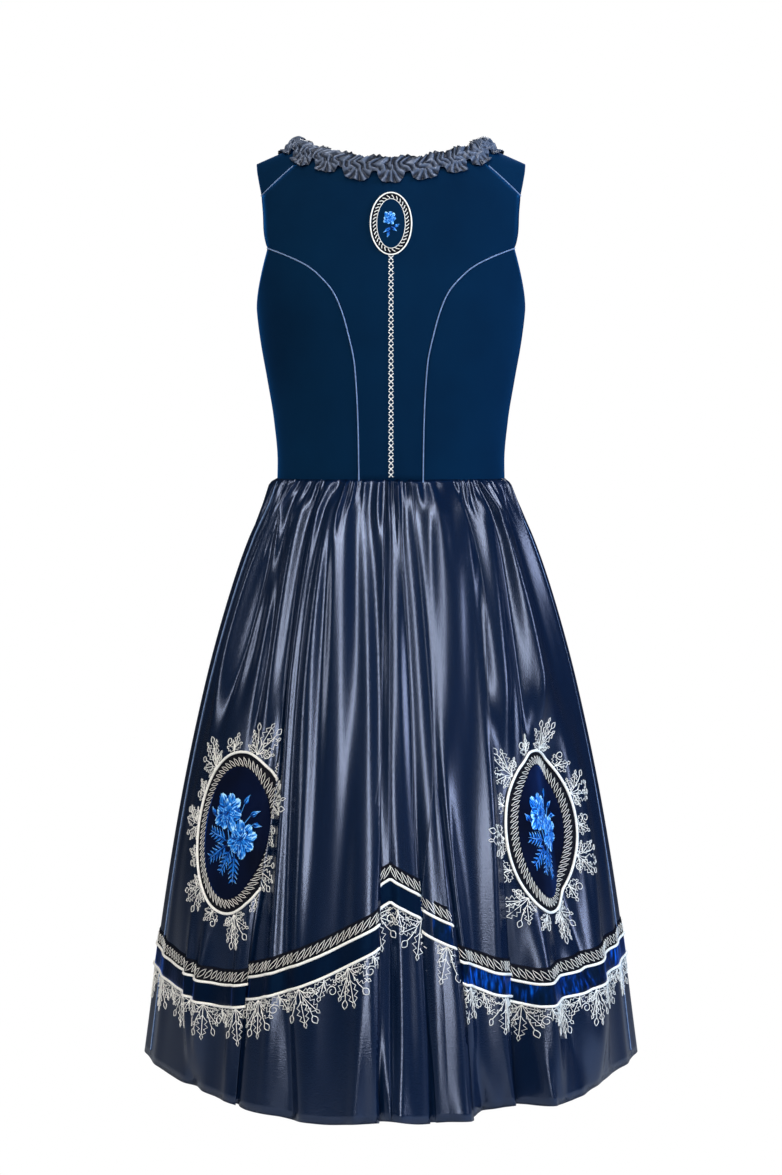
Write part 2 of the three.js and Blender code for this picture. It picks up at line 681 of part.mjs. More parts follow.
// The cloth's own measure along the skirt at the level of the band: mm from the centre back.
const BAND_DROP = 0.79;
function clothMeasure() {
  const fineStep = 0.25;
  const count = Math.round(180 / fineStep);
  const sums = { 1: [0], [-1]: [0] };
  for (const way of [1, -1]) {
    for (let i = 1; i <= count; i += 1) {
      const here = skirtSurface(way * i * fineStep, BAND_DROP);
      const before = skirtSurface(way * (i - 1) * fineStep, BAND_DROP);
      sums[way].push(sums[way][i - 1] + here.distanceTo(before));
    }
  }
  return (thread) => {
    const wrapped = ((thread + 540) % 360) - 180;
    const way = wrapped < 0 ? -1 : 1;
    const at = Math.min(Math.abs(wrapped) / fineStep, count - 1e-6);
    const i = Math.floor(at);
    return lerp(sums[way][i], sums[way][i + 1], at - i);
  };
}
const clothFromCentreBack = clothMeasure();

// The velvet band: level round the skirt, and rising to a peak at the centre back.
const BAND = { foot: 106, width: 25, peak: 122, peakReach: 330, peakCurve: 1.4, sideRise: 14 };
function bandFoot(thread) {
  const cloth = clothFromCentreBack(thread);
  const inPeak = Math.pow(clamp(1 - cloth / BAND.peakReach, 0, 1), BAND.peakCurve);
  return BAND.foot + BAND.peak * inPeak + BAND.sideRise * smooth(cloth, BAND.peakReach, 2 * BAND.peakReach);
}
const bandFootDrop = (thread) => 1 - bandFoot(thread) / SKIRT_DROP;
const bandTopDrop = (thread) => 1 - (bandFoot(thread) + BAND.width) / SKIRT_DROP;

// Rows of the skirt's grid: shares of the way from the waist to the band's top edge, the band's
// two edges, and shares of the way from the band's foot to the hem.
const ROWS_ABOVE_BAND = [0, 0.03, 0.08, 0.18, 0.32, 0.5, 0.68, 0.85];
const ROWS_BELOW_BAND = [0.5, 1];
const BAND_TOP_ROW = ROWS_ABOVE_BAND.length;

function skirtColumn(thread) {
  const drops = [
    ...ROWS_ABOVE_BAND.map((share) => share * bandTopDrop(thread)),
    bandTopDrop(thread),
    bandFootDrop(thread),
    ...ROWS_BELOW_BAND.map((share) => lerp(bandFootDrop(thread), 1, share)),
  ];
  return drops.map((drop, j) => {
    const normal = surfaceNormal(skirtSurface, thread, clamp(drop, 0.001, 0.999), 0.12, 0.001).negate();
    const isEdge = j === 0 || j === drops.length - 1;
    if (isEdge) normal.setZ(0).normalize();
    return { point: skirtSurface(thread, drop), normal };
  });
}

// The grid between two hem angles, as rows from the waist to the hem.
function skirtGrid(fromAngle, toAngle) {
  const within = THREADS.flatMap((angle) => [angle, angle + 360])
    .filter((angle) => angle > fromAngle + 0.01 && angle < toAngle - 0.01)
    .sort((a, b) => a - b);
  const columns = [fromAngle, ...within, toAngle].map((angle) =>
    skirtColumn(angle > 180 ? angle - 360 : angle),
  );
  return columns[0].map((_, j) => columns.map((column) => column[j]));
}

const SKIRT_PANELS = {
  skirt_back_left: [-SIDE_SEAM_ANGLE, CENTRE_BACK_ANGLE],
  skirt_back_right: [CENTRE_BACK_ANGLE, SIDE_SEAM_ANGLE],
  skirt_front: [SIDE_SEAM_ANGLE, 360 - SIDE_SEAM_ANGLE],
};

// ---------------------------------------------------------------- what is laid on the cloth

// The band follows the skirt's own points, all round.
function velvetBand() {
  const columns = THREADS.map((thread) => skirtColumn(thread > 180 ? thread - 360 : thread));
  const rows = [BAND_TOP_ROW, BAND_TOP_ROW + 1].map((j) => columns.map((column) => column[j]));
  return clothWall(rows, LAID_ON_GAP, LAID_ON_GAP + TRIM_WALL, true);
}

// An upright elliptical post along +Y, used to cut an oval out of a layer of cloth.
function ovalPost(halfWidth, halfHeight, depth) {
  const outline = new THREE.Shape();
  outline.absellipse(0, 0, halfWidth, halfHeight, 0, 2 * Math.PI, false, 0);
  const post = new THREE.ExtrudeGeometry(outline, { depth, bevelEnabled: false, curveSegments: 28 });
  return post.rotateX(Math.PI / 2);
}

const SKIRT_OVAL = { halfWidth: 60, halfHeight: 91, angle: 45.5, z: -784, tilt: 9 };
const BODICE_OVAL = { halfWidth: 24, halfHeight: 36, z: -97 };

function skirtOval(way) {
  const threads = THREADS.filter((angle) => angle * way > 20 && angle * way < 74);
  const [from, to] = [threads[0], threads[threads.length - 1]];
  const layer = clothWall(skirtGrid(from, to), LAID_ON_GAP, LAID_ON_GAP + TRIM_WALL);
  const postDepth = 160;
  const post = ovalPost(SKIRT_OVAL.halfWidth, SKIRT_OVAL.halfHeight, postDepth);
  post.rotateY(radians(-way * SKIRT_OVAL.tilt * 0.7));
  post.translate(0, -200, 0);
  post.rotateZ(radians(way * SKIRT_OVAL.angle));
  post.translate(0, 0, SKIRT_OVAL.z);
  return asGeometry(asSolid(layer).intersect(asSolid(post)));
}

function bodiceOval(backGrid) {
  const layer = clothWall(backGrid, LAID_ON_GAP, LAID_ON_GAP + TRIM_WALL);
  const post = ovalPost(BODICE_OVAL.halfWidth, BODICE_OVAL.halfHeight, 90);
  post.translate(0, -50, BODICE_OVAL.z);
  return asGeometry(asSolid(layer).intersect(asSolid(post)));
}

// ---------------------------------------------------------------- the dress

const COLOURS = {
  velvet: { color: 0x0a2a50, roughness: 0.9 },
  satin: { color: 0x2a3048, roughness: 0.4 },
  ruche: { color: 0x444a60, roughness: 0.5 },
  piping: { color: 0x6f8fc0, roughness: 0.5 },
  band: { color: 0x06183c, roughness: 0.7 },
};

const dress = new THREE.Group();

function addPiece(name, geometry, finish) {
  const material = new THREE.MeshStandardMaterial({ ...COLOURS[finish], metalness: 0 });
  const mesh = new THREE.Mesh(geometry, material);
  mesh.name = name;
  dress.add(mesh);
}

const velvetPanel = (grid) => clothWall(grid, -VELVET_WALL, 0);
const backGrid = backPanel();
addPiece("bodice_back", velvetPanel(backGrid), "velvet");

const rightPanels = {
  bodice_back_side: sidePanel(BACK_SEAM, false),
  bodice_front: frontPanel(),
  bodice_front_side: sidePanel(FRONT_SEAM, true),
};
for (const [name, grid] of Object.entries(rightPanels)) {
  addPiece(`${name}_right`, velvetPanel(grid), "velvet");
  addPiece(`${name}_left`, velvetPanel(mirrored(grid)), "velvet");
}

const mirrorLine = (line) => line.map(({ side, over }) => ({ side: -side, over }));
const pipedSeams = {
  piping_back: seamLine(BACK_SEAM, overBack),
  piping_shoulder: shoulderSeamLine(),
  piping_front: seamLine(FRONT_SEAM, overFront),
};
for (const [name, line] of Object.entries(pipedSeams)) {
  addPiece(`${name}_right`, pipingStrip(line), "piping");
  addPiece(`${name}_left`, pipingStrip(mirrorLine(line)), "piping");
}

addPiece("neck_ruche", neckTrim(), "ruche");

for (const [name, [from, to]] of Object.entries(SKIRT_PANELS)) {
  const grid = trimForSeams(skirtGrid(from, to));
  addPiece(name, clothWall(grid, -SATIN_WALL, 0), "satin");
}

addPiece("velvet_band", velvetBand(), "band");
addPiece("oval_left", skirtOval(-1), "band");
addPiece("oval_right", skirtOval(1), "band");
addPiece("oval_bodice", bodiceOval(backGrid), "band");

export default dress;
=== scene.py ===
import math

import bmesh
import bpy
import numpy as np
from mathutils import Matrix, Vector


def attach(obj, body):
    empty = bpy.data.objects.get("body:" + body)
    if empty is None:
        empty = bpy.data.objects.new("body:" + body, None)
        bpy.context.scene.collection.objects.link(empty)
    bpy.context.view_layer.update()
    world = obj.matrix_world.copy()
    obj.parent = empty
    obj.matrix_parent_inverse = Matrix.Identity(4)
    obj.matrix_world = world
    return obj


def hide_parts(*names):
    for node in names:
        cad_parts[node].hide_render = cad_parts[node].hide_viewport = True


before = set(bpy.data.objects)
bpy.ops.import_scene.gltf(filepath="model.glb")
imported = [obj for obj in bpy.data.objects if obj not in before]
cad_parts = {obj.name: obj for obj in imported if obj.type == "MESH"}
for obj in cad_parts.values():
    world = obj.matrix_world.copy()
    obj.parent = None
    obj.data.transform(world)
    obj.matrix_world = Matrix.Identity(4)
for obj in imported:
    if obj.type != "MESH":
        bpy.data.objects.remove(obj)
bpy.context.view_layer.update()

# ------------------------------------------------------------------ camera
# A long lens stands behind the dress at chest height and looks almost level. The frame reaches
# further down than up, so that the hem is in it.
CAMERA_AWAY = 2.506
CAMERA_HEIGHT = -0.3428
CAMERA_TILT = math.radians(1.34)
camera_data = bpy.data.cameras.new("camera")
camera_data.sensor_fit = "VERTICAL"
camera_data.sensor_height = 36
camera_data.lens = 64.12
camera_data.shift_y = -0.0851
camera = bpy.data.objects.new("camera", camera_data)
camera.location = (0, -CAMERA_AWAY, CAMERA_HEIGHT)
camera.rotation_euler = (math.pi / 2 - CAMERA_TILT, 0, 0)
bpy.context.scene.collection.objects.link(camera)
bpy.context.scene.camera = camera

# ------------------------------------------------------------------ floor and light
# A wide pale floor lies well below the hem. A tall narrow light stands behind the camera, one hangs
# above, two stand at the sides and one on the front's side. Two soft fills and a pale room give the rest.
bpy.context.scene.view_settings.view_transform = "Standard"
FLOOR_Z = -1.6
FLOOR_HALF_WIDTH = 30
floor_bm = bmesh.new()
bmesh.ops.create_grid(floor_bm, x_segments=1, y_segments=1, size=FLOOR_HALF_WIDTH)
bmesh.ops.translate(floor_bm, verts=floor_bm.verts, vec=(0, 0, FLOOR_Z))
floor_mesh = bpy.data.meshes.new("floor")
floor_bm.to_mesh(floor_mesh)
floor_bm.free()
floor = bpy.data.objects.new("floor", floor_mesh)
bpy.context.scene.collection.objects.link(floor)


def new_material(name, settings):
    """A material with its Principled shader set, and the tree to add nodes to."""
    material = bpy.data.materials.new(name)
    material.use_nodes = True
    shader = material.node_tree.nodes["Principled BSDF"]
    for setting, value in settings.items():
        shader.inputs[setting].default_value = value
    return material, material.node_tree, shader


def add_node(tree, kind, inputs, operation=None):
    """A shader node. Each input is given as a value or as the output that feeds it."""
    node = tree.nodes.new("ShaderNode" + kind)
    if operation:
        node.operation = operation
    for name, given in inputs.items():
        if isinstance(given, bpy.types.NodeSocket):
            tree.links.new(given, node.inputs[name])
        else:
            node.inputs[name].default_value = given
    return node


def show_plain(tree, lit, plain, output):
    """Shows the camera a plain shader where all other rays meet the lit one."""
    ray = tree.nodes.new("ShaderNodeLightPath")
    mix = add_node(tree, "MixShader", {"Fac": ray.outputs["Is Camera Ray"], 1: lit, 2: plain})
    tree.links.new(mix.outputs["Shader"], tree.nodes[output].inputs["Surface"])


FLOOR_COLOUR = (0.4, 0.41, 0.43, 1)
floor_paint, floor_tree, floor_shader = new_material(
    "pale_floor", {"Base Color": FLOOR_COLOUR, "Roughness": 0.9}
)
floor_seen = add_node(floor_tree, "Emission", {"Strength": 1})
show_plain(floor_tree, floor_shader.outputs["BSDF"], floor_seen.outputs["Emission"], "Material Output")
floor_mesh.materials.append(floor_paint)

ROOM_COLOUR = (0.9, 0.94, 1, 1)
ROOM_LIGHT = 0.035
ROOM_SHOWN = 1
room = bpy.data.worlds.new("room")
room.use_nodes = True
room_light = room.node_tree.nodes["Background"]
room_light.inputs["Color"].default_value = ROOM_COLOUR
room_light.inputs["Strength"].default_value = ROOM_LIGHT
room_shown = add_node(room.node_tree, "Background", {"Color": (1, 1, 1, 1), "Strength": ROOM_SHOWN})
room_outputs = (room_light.outputs["Background"], room_shown.outputs["Background"])
show_plain(room.node_tree, *room_outputs, "World Output")
bpy.context.scene.world = room


def soft_light(name, place, aim, size, power, colour=(1, 1, 1), mirrored=True):
    """A rectangular softbox that faces the point it is aimed at. One that isn't mirrored gives no
    shine on the cloth, as a far larger and softer light would."""
    data = bpy.data.lights.new(name, "AREA")
    data.shape = "RECTANGLE"
    data.size, data.size_y = size
    data.energy = power
    data.color = colour
    lamp = bpy.data.objects.new(name, data)
    lamp.location = place
    lamp.visible_glossy = mirrored
    away = np.array(place) - np.array(aim)
    level = math.hypot(away[0], away[1])
    lamp.rotation_euler = (math.pi / 2 - math.atan2(away[2], level), 0, math.atan2(away[0], -away[1]))
    bpy.context.scene.collection.objects.link(lamp)


# The name, place, aim, size in metres, power in watts, colour, and whether the cloth mirrors it.
soft_light("key", (-0.1, -3.6, 2.22), (0, 0, 2.22), (0.7, 6.1), 107)
soft_light("above", (-0.1, -1.7, 3.6), (0, 0, -0.5), (0.6, 3.4), 60)
soft_light("fill", (-0.9, -3.6, 0.9), (0, 0, -0.5), (1.6, 1.6), 58, (1, 1, 1), False)
soft_light("left", (-3.2, -1.0, 0.4), (0, 0, -0.55), (0.5, 1.6), 16)
soft_light("right", (3.2, -1.4, 0.4), (0, 0, -0.55), (0.7, 1.8), 34, (0.84, 0.88, 1))
soft_light("right_fill", (3.0, -1.3, 0.4), (0, 0, -0.3), (1.2, 1.6), 100, (0.44, 0.68, 1), False)
soft_light("front_side", (0.4, 3.2, 1.6), (0, 0, -0.55), (1.2, 1.6), 45)

# ------------------------------------------------------------------ bodice
# Seven panels of navy velvet, cut close to the body and joined by curved seams. The front panels
# come over the shoulders to slanted seams on the back. The neck and armhole edges are turned in.
MM = 0.001
VELVET_THICK = 1.2
WAIST_Z = -394
CHEST_Z = -110
UNDERARM_Z = -196
OVER_UNIT = 110
SIDE_FULLNESS = 0.85


def table(columns, *rows):
    """The rows of a table, each with its values under the columns' names."""
    return [dict(zip(columns.split(), row)) for row in rows]


TORSO = table(
    "z half_width back front",
    (WAIST_Z, 136, 93, 101),
    (-370, 135.6, 94, 101),
    (-321, 139.8, 98, 107),
    (-273, 147.6, 103, 121),
    (-225, 156, 108, 136),
    (UNDERARM_Z, 159.6, 110, 136),
    (-150, 163, 112, 126),
    (CHEST_Z, 165, 112, 119),
)
CHEST = TORSO[-1]
SHOULDER = {"x": 104, "z": 8, "slope": 0.45, "rounding": 50}


def eased(rows, key, value):
    """A smooth curve through one column of a table, with no overshoot between its rows."""
    xs = np.array([row[key] for row in rows], float)
    ys = np.array([row[value] for row in rows], float)
    if xs[0] > xs[-1]:
        xs, ys = xs[::-1], ys[::-1]
    rise = np.diff(ys) / np.diff(xs)
    slope = np.concatenate([rise[:1], np.zeros(len(rise) - 1), rise[-1:]])
    alike = rise[:-1] * rise[1:] > 0
    total = np.where(alike, rise[:-1] + rise[1:], 1)
    slope[1:-1] = np.where(alike, 2 * rise[:-1] * rise[1:] / total, 0)

    def curve(x):
        x = np.clip(x, xs[0], xs[-1])
        i = np.clip(np.searchsorted(xs, x) - 1, 0, len(xs) - 2)
        span = xs[i + 1] - xs[i]
        u = (x - xs[i]) / span
        cubic = (2 * u - 3) * u * u
        ends = ys[i] * (1 + cubic) - ys[i + 1] * cubic
        return ends + span * (slope[i] * u * (1 - u) ** 2 - slope[i + 1] * u * u * (1 - u))

    return curve


def lerp(a, b, share):
    """The value at a share of the way from a to b."""
    return a + (b - a) * share


def smooth(x, low, high):
    """Rises softly from 0 at the low end to 1 at the high end."""
    share = np.clip((x - low) / (high - low), 0, 1)
    return share * share * (3 - 2 * share)


torso_half_width = eased(TORSO, "z", "half_width")
torso_back = eased(TORSO, "z", "back")
torso_front = eased(TORSO, "z", "front")


def shoulder_z(x):
    """The height of the shoulder line, which slopes down from a rounded middle."""
    run = np.hypot(x, SHOULDER["rounding"]) - math.hypot(SHOULDER["x"], SHOULDER["rounding"])
    return SHOULDER["z"] - SHOULDER["slope"] * run


def bodice_form(side, over):
    """The bodice's outer face. `side` is 0 at the centre and 90 degrees at the side seam; `over` runs
    up the front, over the shoulder at 90 degrees and down the back."""
    is_front = over < math.pi / 2
    below = np.where(is_front, -over, over - math.pi)
    share = np.abs(np.cos(side)) ** SIDE_FULLNESS
    low_z = CHEST_Z - np.maximum(below, 0) * OVER_UNIT
    low_depth = np.where(is_front, torso_front(low_z), -torso_back(low_z))
    low = np.stack([torso_half_width(low_z) * np.sin(side), low_depth * share, low_z], -1)
    x = CHEST["half_width"] * np.sin(side)
    depth = np.where(is_front, CHEST["front"], CHEST["back"])
    high_z = lerp(CHEST_Z, shoulder_z(x), np.sin(over))
    high = np.stack([x, depth * share * np.cos(over), high_z], -1)
    return np.where((below > 0)[..., None], low, high)


def over_front(x, z):
    """The place over the front at a distance from the middle and a height."""
    low = (z - CHEST_Z) / OVER_UNIT
    high = np.arcsin(np.clip((z - CHEST_Z) / (shoulder_z(x) - CHEST_Z), 0, 1))
    return np.where(z < CHEST_Z, low, high)


def over_back(x, z):
    """The same for the back."""
    return math.pi - over_front(x, z)


def side_at(x, over):
    """The angle to the side at a distance from the middle."""
    below = np.maximum(np.maximum(-over, over - math.pi), 0)
    return np.arcsin(np.clip(x / torso_half_width(CHEST_Z - below * OVER_UNIT), -1, 1))


BACK_SEAM = table(
    "x z centre",
    (37, WAIST_Z, WAIST_Z),
    (37.5, -350, -352),
    (38.5, -310, -314),
    (42, -257, -264),
    (48.5, -225, -234),
    (57, -195, -207),
    (66, -175, -186),
    (80, -158, -168),
    (95, -145, -152),
    (115, -134, -137),
    (144, -121, -119),
)
BACK_ARMHOLE = table("x z centre", (149, -100, -101), (150, -80, -83))
SHOULDER_SEAM = {"neck_x": 88, "neck_over": 2.109, "arm_x": 152, "arm_over": 2.587, "steps": 6}
BACK_NECK_OVER = 2.495
NECK_DIP = 2.35
FRONT_SEAM = table(
    "x z centre",
    (72, WAIST_Z, WAIST_Z),
    (74, -352, -354),
    (78, -312, -318),
    (84, -272, -284),
    (91, -237, -254),
    (97, -207, -227),
    (104, -183, -203),
    (114, -163, -180),
    (125, -148, -158),
    (136, -135, -136),
    (146, -124, -113.3),
)
FRONT_ARMHOLE = table(
    "x over",
    (146, 0.1),
    (148, 0.38),
    (152.5, 0.7),
    (157.5, 1.05),
    (160, 1.38),
    (160, 1.72),
    (159, 2.03),
    (156, 2.33),
    (152, 2.587),
)
FRONT_NECK = table(
    "x over",
    (88, 2.109),
    (99.5, 1.86),
    (104, 1.57),
    (104, 1.25),
    (101, 0.93),
    (93, 0.62),
    (78, 0.34),
    (55, 0.13),
    (28, 0.0),
    (0, -0.03),
)
ARMHOLE_SAG = 10


def along(values, share):
    """Values of a short list read smoothly at a share from 0 to 1 of its length."""
    rows = [{"at": i / (len(values) - 1), "is": value} for i, value in enumerate(values)]
    return eased(rows, "at", "is")(share)


def back_panel(across, up):
    """The back panel. `across` runs from -1 to 1, `up` from the waist to the neck."""
    seam = BACK_SEAM + BACK_ARMHOLE
    xs = [row["x"] for row in seam]
    overs = [float(over_back(row["x"], row["z"])) for row in seam]
    centres = [float(over_back(0, row["centre"])) for row in seam]
    last = centres[-1]
    for k in range(SHOULDER_SEAM["steps"] + 1):
        share = 1 - k / SHOULDER_SEAM["steps"]
        xs.append(lerp(SHOULDER_SEAM["neck_x"], SHOULDER_SEAM["arm_x"], share))
        overs.append(lerp(SHOULDER_SEAM["neck_over"], SHOULDER_SEAM["arm_over"], share))
        centres.append(lerp(last, BACK_NECK_OVER, (k + 1) / (SHOULDER_SEAM["steps"] + 1)))
    over = lerp(along(centres, up), along(overs, up), np.abs(across) ** NECK_DIP)
    return side_at(across * along(xs, up), over), over


def side_panel(seam, is_front, across, up):
    """A panel between a shaping seam and the side seam. `across` runs from 0 to 1."""
    over_of = over_front if is_front else over_back
    inner_over = along([float(over_of(row["x"], row["z"])) for row in seam], up)
    inner_side = side_at(along([row["x"] for row in seam], up), inner_over)
    outer_over = over_of(0, lerp(WAIST_Z, UNDERARM_Z, up))
    sag = (-1 if is_front else 1) * ARMHOLE_SAG * up**3 / OVER_UNIT * 4 * across * (1 - across)
    return lerp(inner_side, math.pi / 2, across), lerp(inner_over, outer_over, across) + sag


def front_panel(across, up):
    """Half of the front, from the centre front (0) to the front seam and armhole (1)."""
    neck = FRONT_NECK[:-1][::-1]
    inner_x = [0] * len(FRONT_SEAM) + [row["x"] for row in neck]
    inner_over = [float(over_front(0, row["centre"])) for row in FRONT_SEAM] + [row["over"] for row in neck]
    outer_x = [row["x"] for row in FRONT_SEAM + FRONT_ARMHOLE]
    outer_over = [float(over_front(row["x"], row["z"])) for row in FRONT_SEAM]
    outer_over += [row["over"] for row in FRONT_ARMHOLE]
    over = lerp(along(inner_over, up), along(outer_over, up), across)
    return side_at(lerp(along(inner_x, up), along(outer_x, up), across), over), over


def cloth_grid(name, columns, rows, points, uv=None):
    """A mesh of cloth: a grid whose points, in millimetres, are given row by row, facing outwards."""
    bm = bmesh.new()
    bmesh.ops.create_grid(bm, x_segments=columns - 1, y_segments=rows - 1, size=1)
    flat = np.array([v.co[:2] for v in bm.verts])
    i = np.rint((flat[:, 0] + 1) / 2 * (columns - 1)).astype(int)
    j = np.rint((flat[:, 1] + 1) / 2 * (rows - 1)).astype(int)
    placed = points[j, i] * MM
    for vertex, place in zip(bm.verts, placed):
        vertex.co = place
    bm.normal_update()
    middle = Vector((0, 0, float(placed[..., 2].mean())))
    facing = sum(f.normal.dot(f.calc_center_median() - middle) * f.calc_area() for f in bm.faces)
    if facing < 0:
        bmesh.ops.reverse_faces(bm, faces=bm.faces)
    mesh = bpy.data.meshes.new(name)
    bm.to_mesh(mesh)
    bm.free()
    if uv is not None:
        layer = mesh.uv_layers.new(name="cloth")
        corner = np.empty(len(mesh.loops), int)
        mesh.loops.foreach_get("vertex_index", corner)
        layer.data.foreach_set("uv", uv[j, i][corner].astype(np.float32).ravel())
    mesh.shade_smooth()
    return mesh


def add_piece(name, mesh, material, nodes=()):
    """Puts a finished mesh in the scene, riding on the dress and standing for its solids."""
    piece = bpy.data.objects.new(name, mesh)
    mesh.materials.append(material)
    bpy.context.scene.collection.objects.link(piece)
    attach(piece, "root")
    if nodes:
        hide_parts(*nodes)
    return piece


def give_thickness(piece, thick_mm):
    """A wall to the inside of the cloth's outer face."""
    wall = piece.modifiers.new("cloth wall", "SOLIDIFY")
    wall.thickness = thick_mm * MM
    wall.offset = -1


velvet, velvet_tree, velvet_shader = new_material(
    "navy_velvet",
    {
        "Roughness": 0.92,
        "Specular IOR Level": 0.06,
        "Sheen Weight": 0.3,
        "Sheen Roughness": 0.38,
        "Sheen Tint": (0.012, 0.21, 0.72, 1),
    },
)


def noise(tree, scale, detail=2, coords="Object", stretch=(1, 1, 1)):
    """Noise on the piece's own coordinates, stretched along chosen axes."""
    where = tree.nodes.new("ShaderNodeTexCoord")
    mapping = add_node(tree, "Mapping", {"Scale": stretch, "Vector": where.outputs[coords]})
    grain = {"Scale": scale, "Detail": detail, "Vector": mapping.outputs["Vector"]}
    return add_node(tree, "TexNoise", grain).outputs["Fac"]


def ramp(tree, shader, value, stops):
    """Colours the shader by a ramp of stops, each a position and its red, green and blue."""
    node = add_node(tree, "ValToRGB", {"Fac": value})
    while len(node.color_ramp.elements) < len(stops):
        node.color_ramp.elements.new(0.5)
    for element, (position, *colour) in zip(node.color_ramp.elements, stops):
        element.position = position
        element.color = (*colour, 1)
    tree.links.new(node.outputs["Color"], shader.inputs["Base Color"])


def bump(tree, shader, height, strength, distance):
    """A fine relief of the shader's surface; the distance is in metres."""
    node = add_node(tree, "Bump", {"Strength": strength, "Distance": distance, "Height": height})
    tree.links.new(node.outputs["Normal"], shader.inputs["Normal"])


velvet_stops = [(0.3, 0.0004, 0.0105, 0.031), (0.7, 0.0007, 0.015, 0.043)]
ramp(velvet_tree, velvet_shader, noise(velvet_tree, 9, 3), velvet_stops)
bump(velvet_tree, velvet_shader, noise(velvet_tree, 1600, 2), 0.25, 0.0004)

# A panel's flat size over its straight extent, for its curves.
PANEL_CURVE = 1.15
PANEL_COLUMNS, PANEL_ROWS = 41, 81
bodice_shapes = {
    "bodice_back": (lambda a, b: back_panel(2 * a - 1, b), 1),
    "bodice_back_side_right": (lambda a, b: side_panel(BACK_SEAM, False, a, b), 1),
    "bodice_back_side_left": (lambda a, b: side_panel(BACK_SEAM, False, a, b), -1),
    "bodice_front_right": (front_panel, 1),
    "bodice_front_left": (front_panel, -1),
    "bodice_front_side_right": (lambda a, b: side_panel(FRONT_SEAM, True, a, b), 1),
    "bodice_front_side_left": (lambda a, b: side_panel(FRONT_SEAM, True, a, b), -1),
}
panel_a, panel_b = np.meshgrid(np.linspace(0, 1, PANEL_COLUMNS), np.linspace(0, 1, PANEL_ROWS))
for node, (shape, hand) in bodice_shapes.items():
    points = bodice_form(*shape(panel_a, panel_b)) * (hand, 1, 1)
    mesh = cloth_grid(node + "_cloth", PANEL_COLUMNS, PANEL_ROWS, points)
    piece = add_piece(node + "_cloth", mesh, velvet, [node])
    give_thickness(piece, VELVET_THICK)
    width = np.ptp(points[..., 0]) * MM * PANEL_CURVE
    length = np.ptp(points[..., 2]) * MM * PANEL_CURVE

# ------------------------------------------------------------------ seam piping
# A fine light-blue piping is caught in each shaping seam of the bodice: the two curved back seams,
# the two slanted shoulder seams and the two front seams.
PIPING_RADIUS = 0.75
PIPING_SUNK = 0.15


def thread_mesh(name, lines, radius_mm, sides=0):
    """One mesh of round threads along lines of points in millimetres. A line is closed where it
    ends on its first point."""
    data = bpy.data.curves.new(name, "CURVE")
    data.dimensions = "3D"
    data.bevel_depth = radius_mm * MM
    data.bevel_resolution = sides
    data.use_fill_caps = True
    for line in lines:
        closed = np.allclose(line[0], line[-1], atol=1e-6)
        points = line[:-1] if closed else line
        spline = data.splines.new("POLY")
        spline.points.add(len(points) - 1)
        placed = np.concatenate([points * MM, np.ones((len(points), 1))], axis=1)
        spline.points.foreach_set("co", placed.ravel())
        spline.use_cyclic_u = closed
    holder = bpy.data.objects.new(name, data)
    bpy.context.scene.collection.objects.link(holder)
    depsgraph = bpy.context.evaluated_depsgraph_get()
    mesh = bpy.data.meshes.new_from_object(holder.evaluated_get(depsgraph))
    bpy.data.objects.remove(holder)
    bpy.data.curves.remove(data)
    mesh.name = name
    mesh.shade_smooth()
    return mesh


def on_bodice(side, over, out):
    """A point over the bodice's outer face, lifted off it."""
    step = 0.004
    along_side = bodice_form(side + step, over) - bodice_form(side - step, over)
    along_over = bodice_form(side, over + step) - bodice_form(side, over - step)
    normal = -np.cross(along_side, along_over)
    normal = normal / np.linalg.norm(normal, axis=-1, keepdims=True)
    return bodice_form(side, over) + normal * np.asarray(out)[..., None]


def add_threads(name, lines, radius_mm, material, sides=0, nodes=()):
    """Puts threads along lines in the scene as one piece."""
    add_piece(name, thread_mesh(name, lines, radius_mm, sides), material, nodes)


piping, piping_tree, piping_shader = new_material(
    "light_blue_piping", {"Roughness": 0.5, "Sheen Weight": 0.3}
)
piping_stops = [(0.3, 0.08, 0.14, 0.27), (0.7, 0.17, 0.26, 0.45)]
ramp(piping_tree, piping_shader, noise(piping_tree, 500, 2), piping_stops)
bump(piping_tree, piping_shader, noise(piping_tree, 900, 1), 0.4, 0.0004)

seam_share = np.linspace(0, 1, 90)
shoulder_share = np.linspace(0.4, 1, 30)
shoulder_over = lerp(SHOULDER_SEAM["neck_over"], SHOULDER_SEAM["arm_over"], shoulder_share)
shoulder_x = lerp(SHOULDER_SEAM["neck_x"], SHOULDER_SEAM["arm_x"], shoulder_share)
piped_seams = {
    "piping_back": side_panel(BACK_SEAM, False, 0, seam_share),
    "piping_shoulder": (side_at(shoulder_x, shoulder_over), shoulder_over),
    "piping_front": side_panel(FRONT_SEAM, True, 0, seam_share),
}
for seam, (side, over) in piped_seams.items():
    line = on_bodice(side, over, PIPING_RADIUS - PIPING_SUNK)
    for hand_name, hand in (("right", 1), ("left", -1)):
        node = f"{seam}_{hand_name}"
        cord = [line * (hand, 1, 1)]
        add_threads(node + "_cord", cord, PIPING_RADIUS, piping, 1, [node])

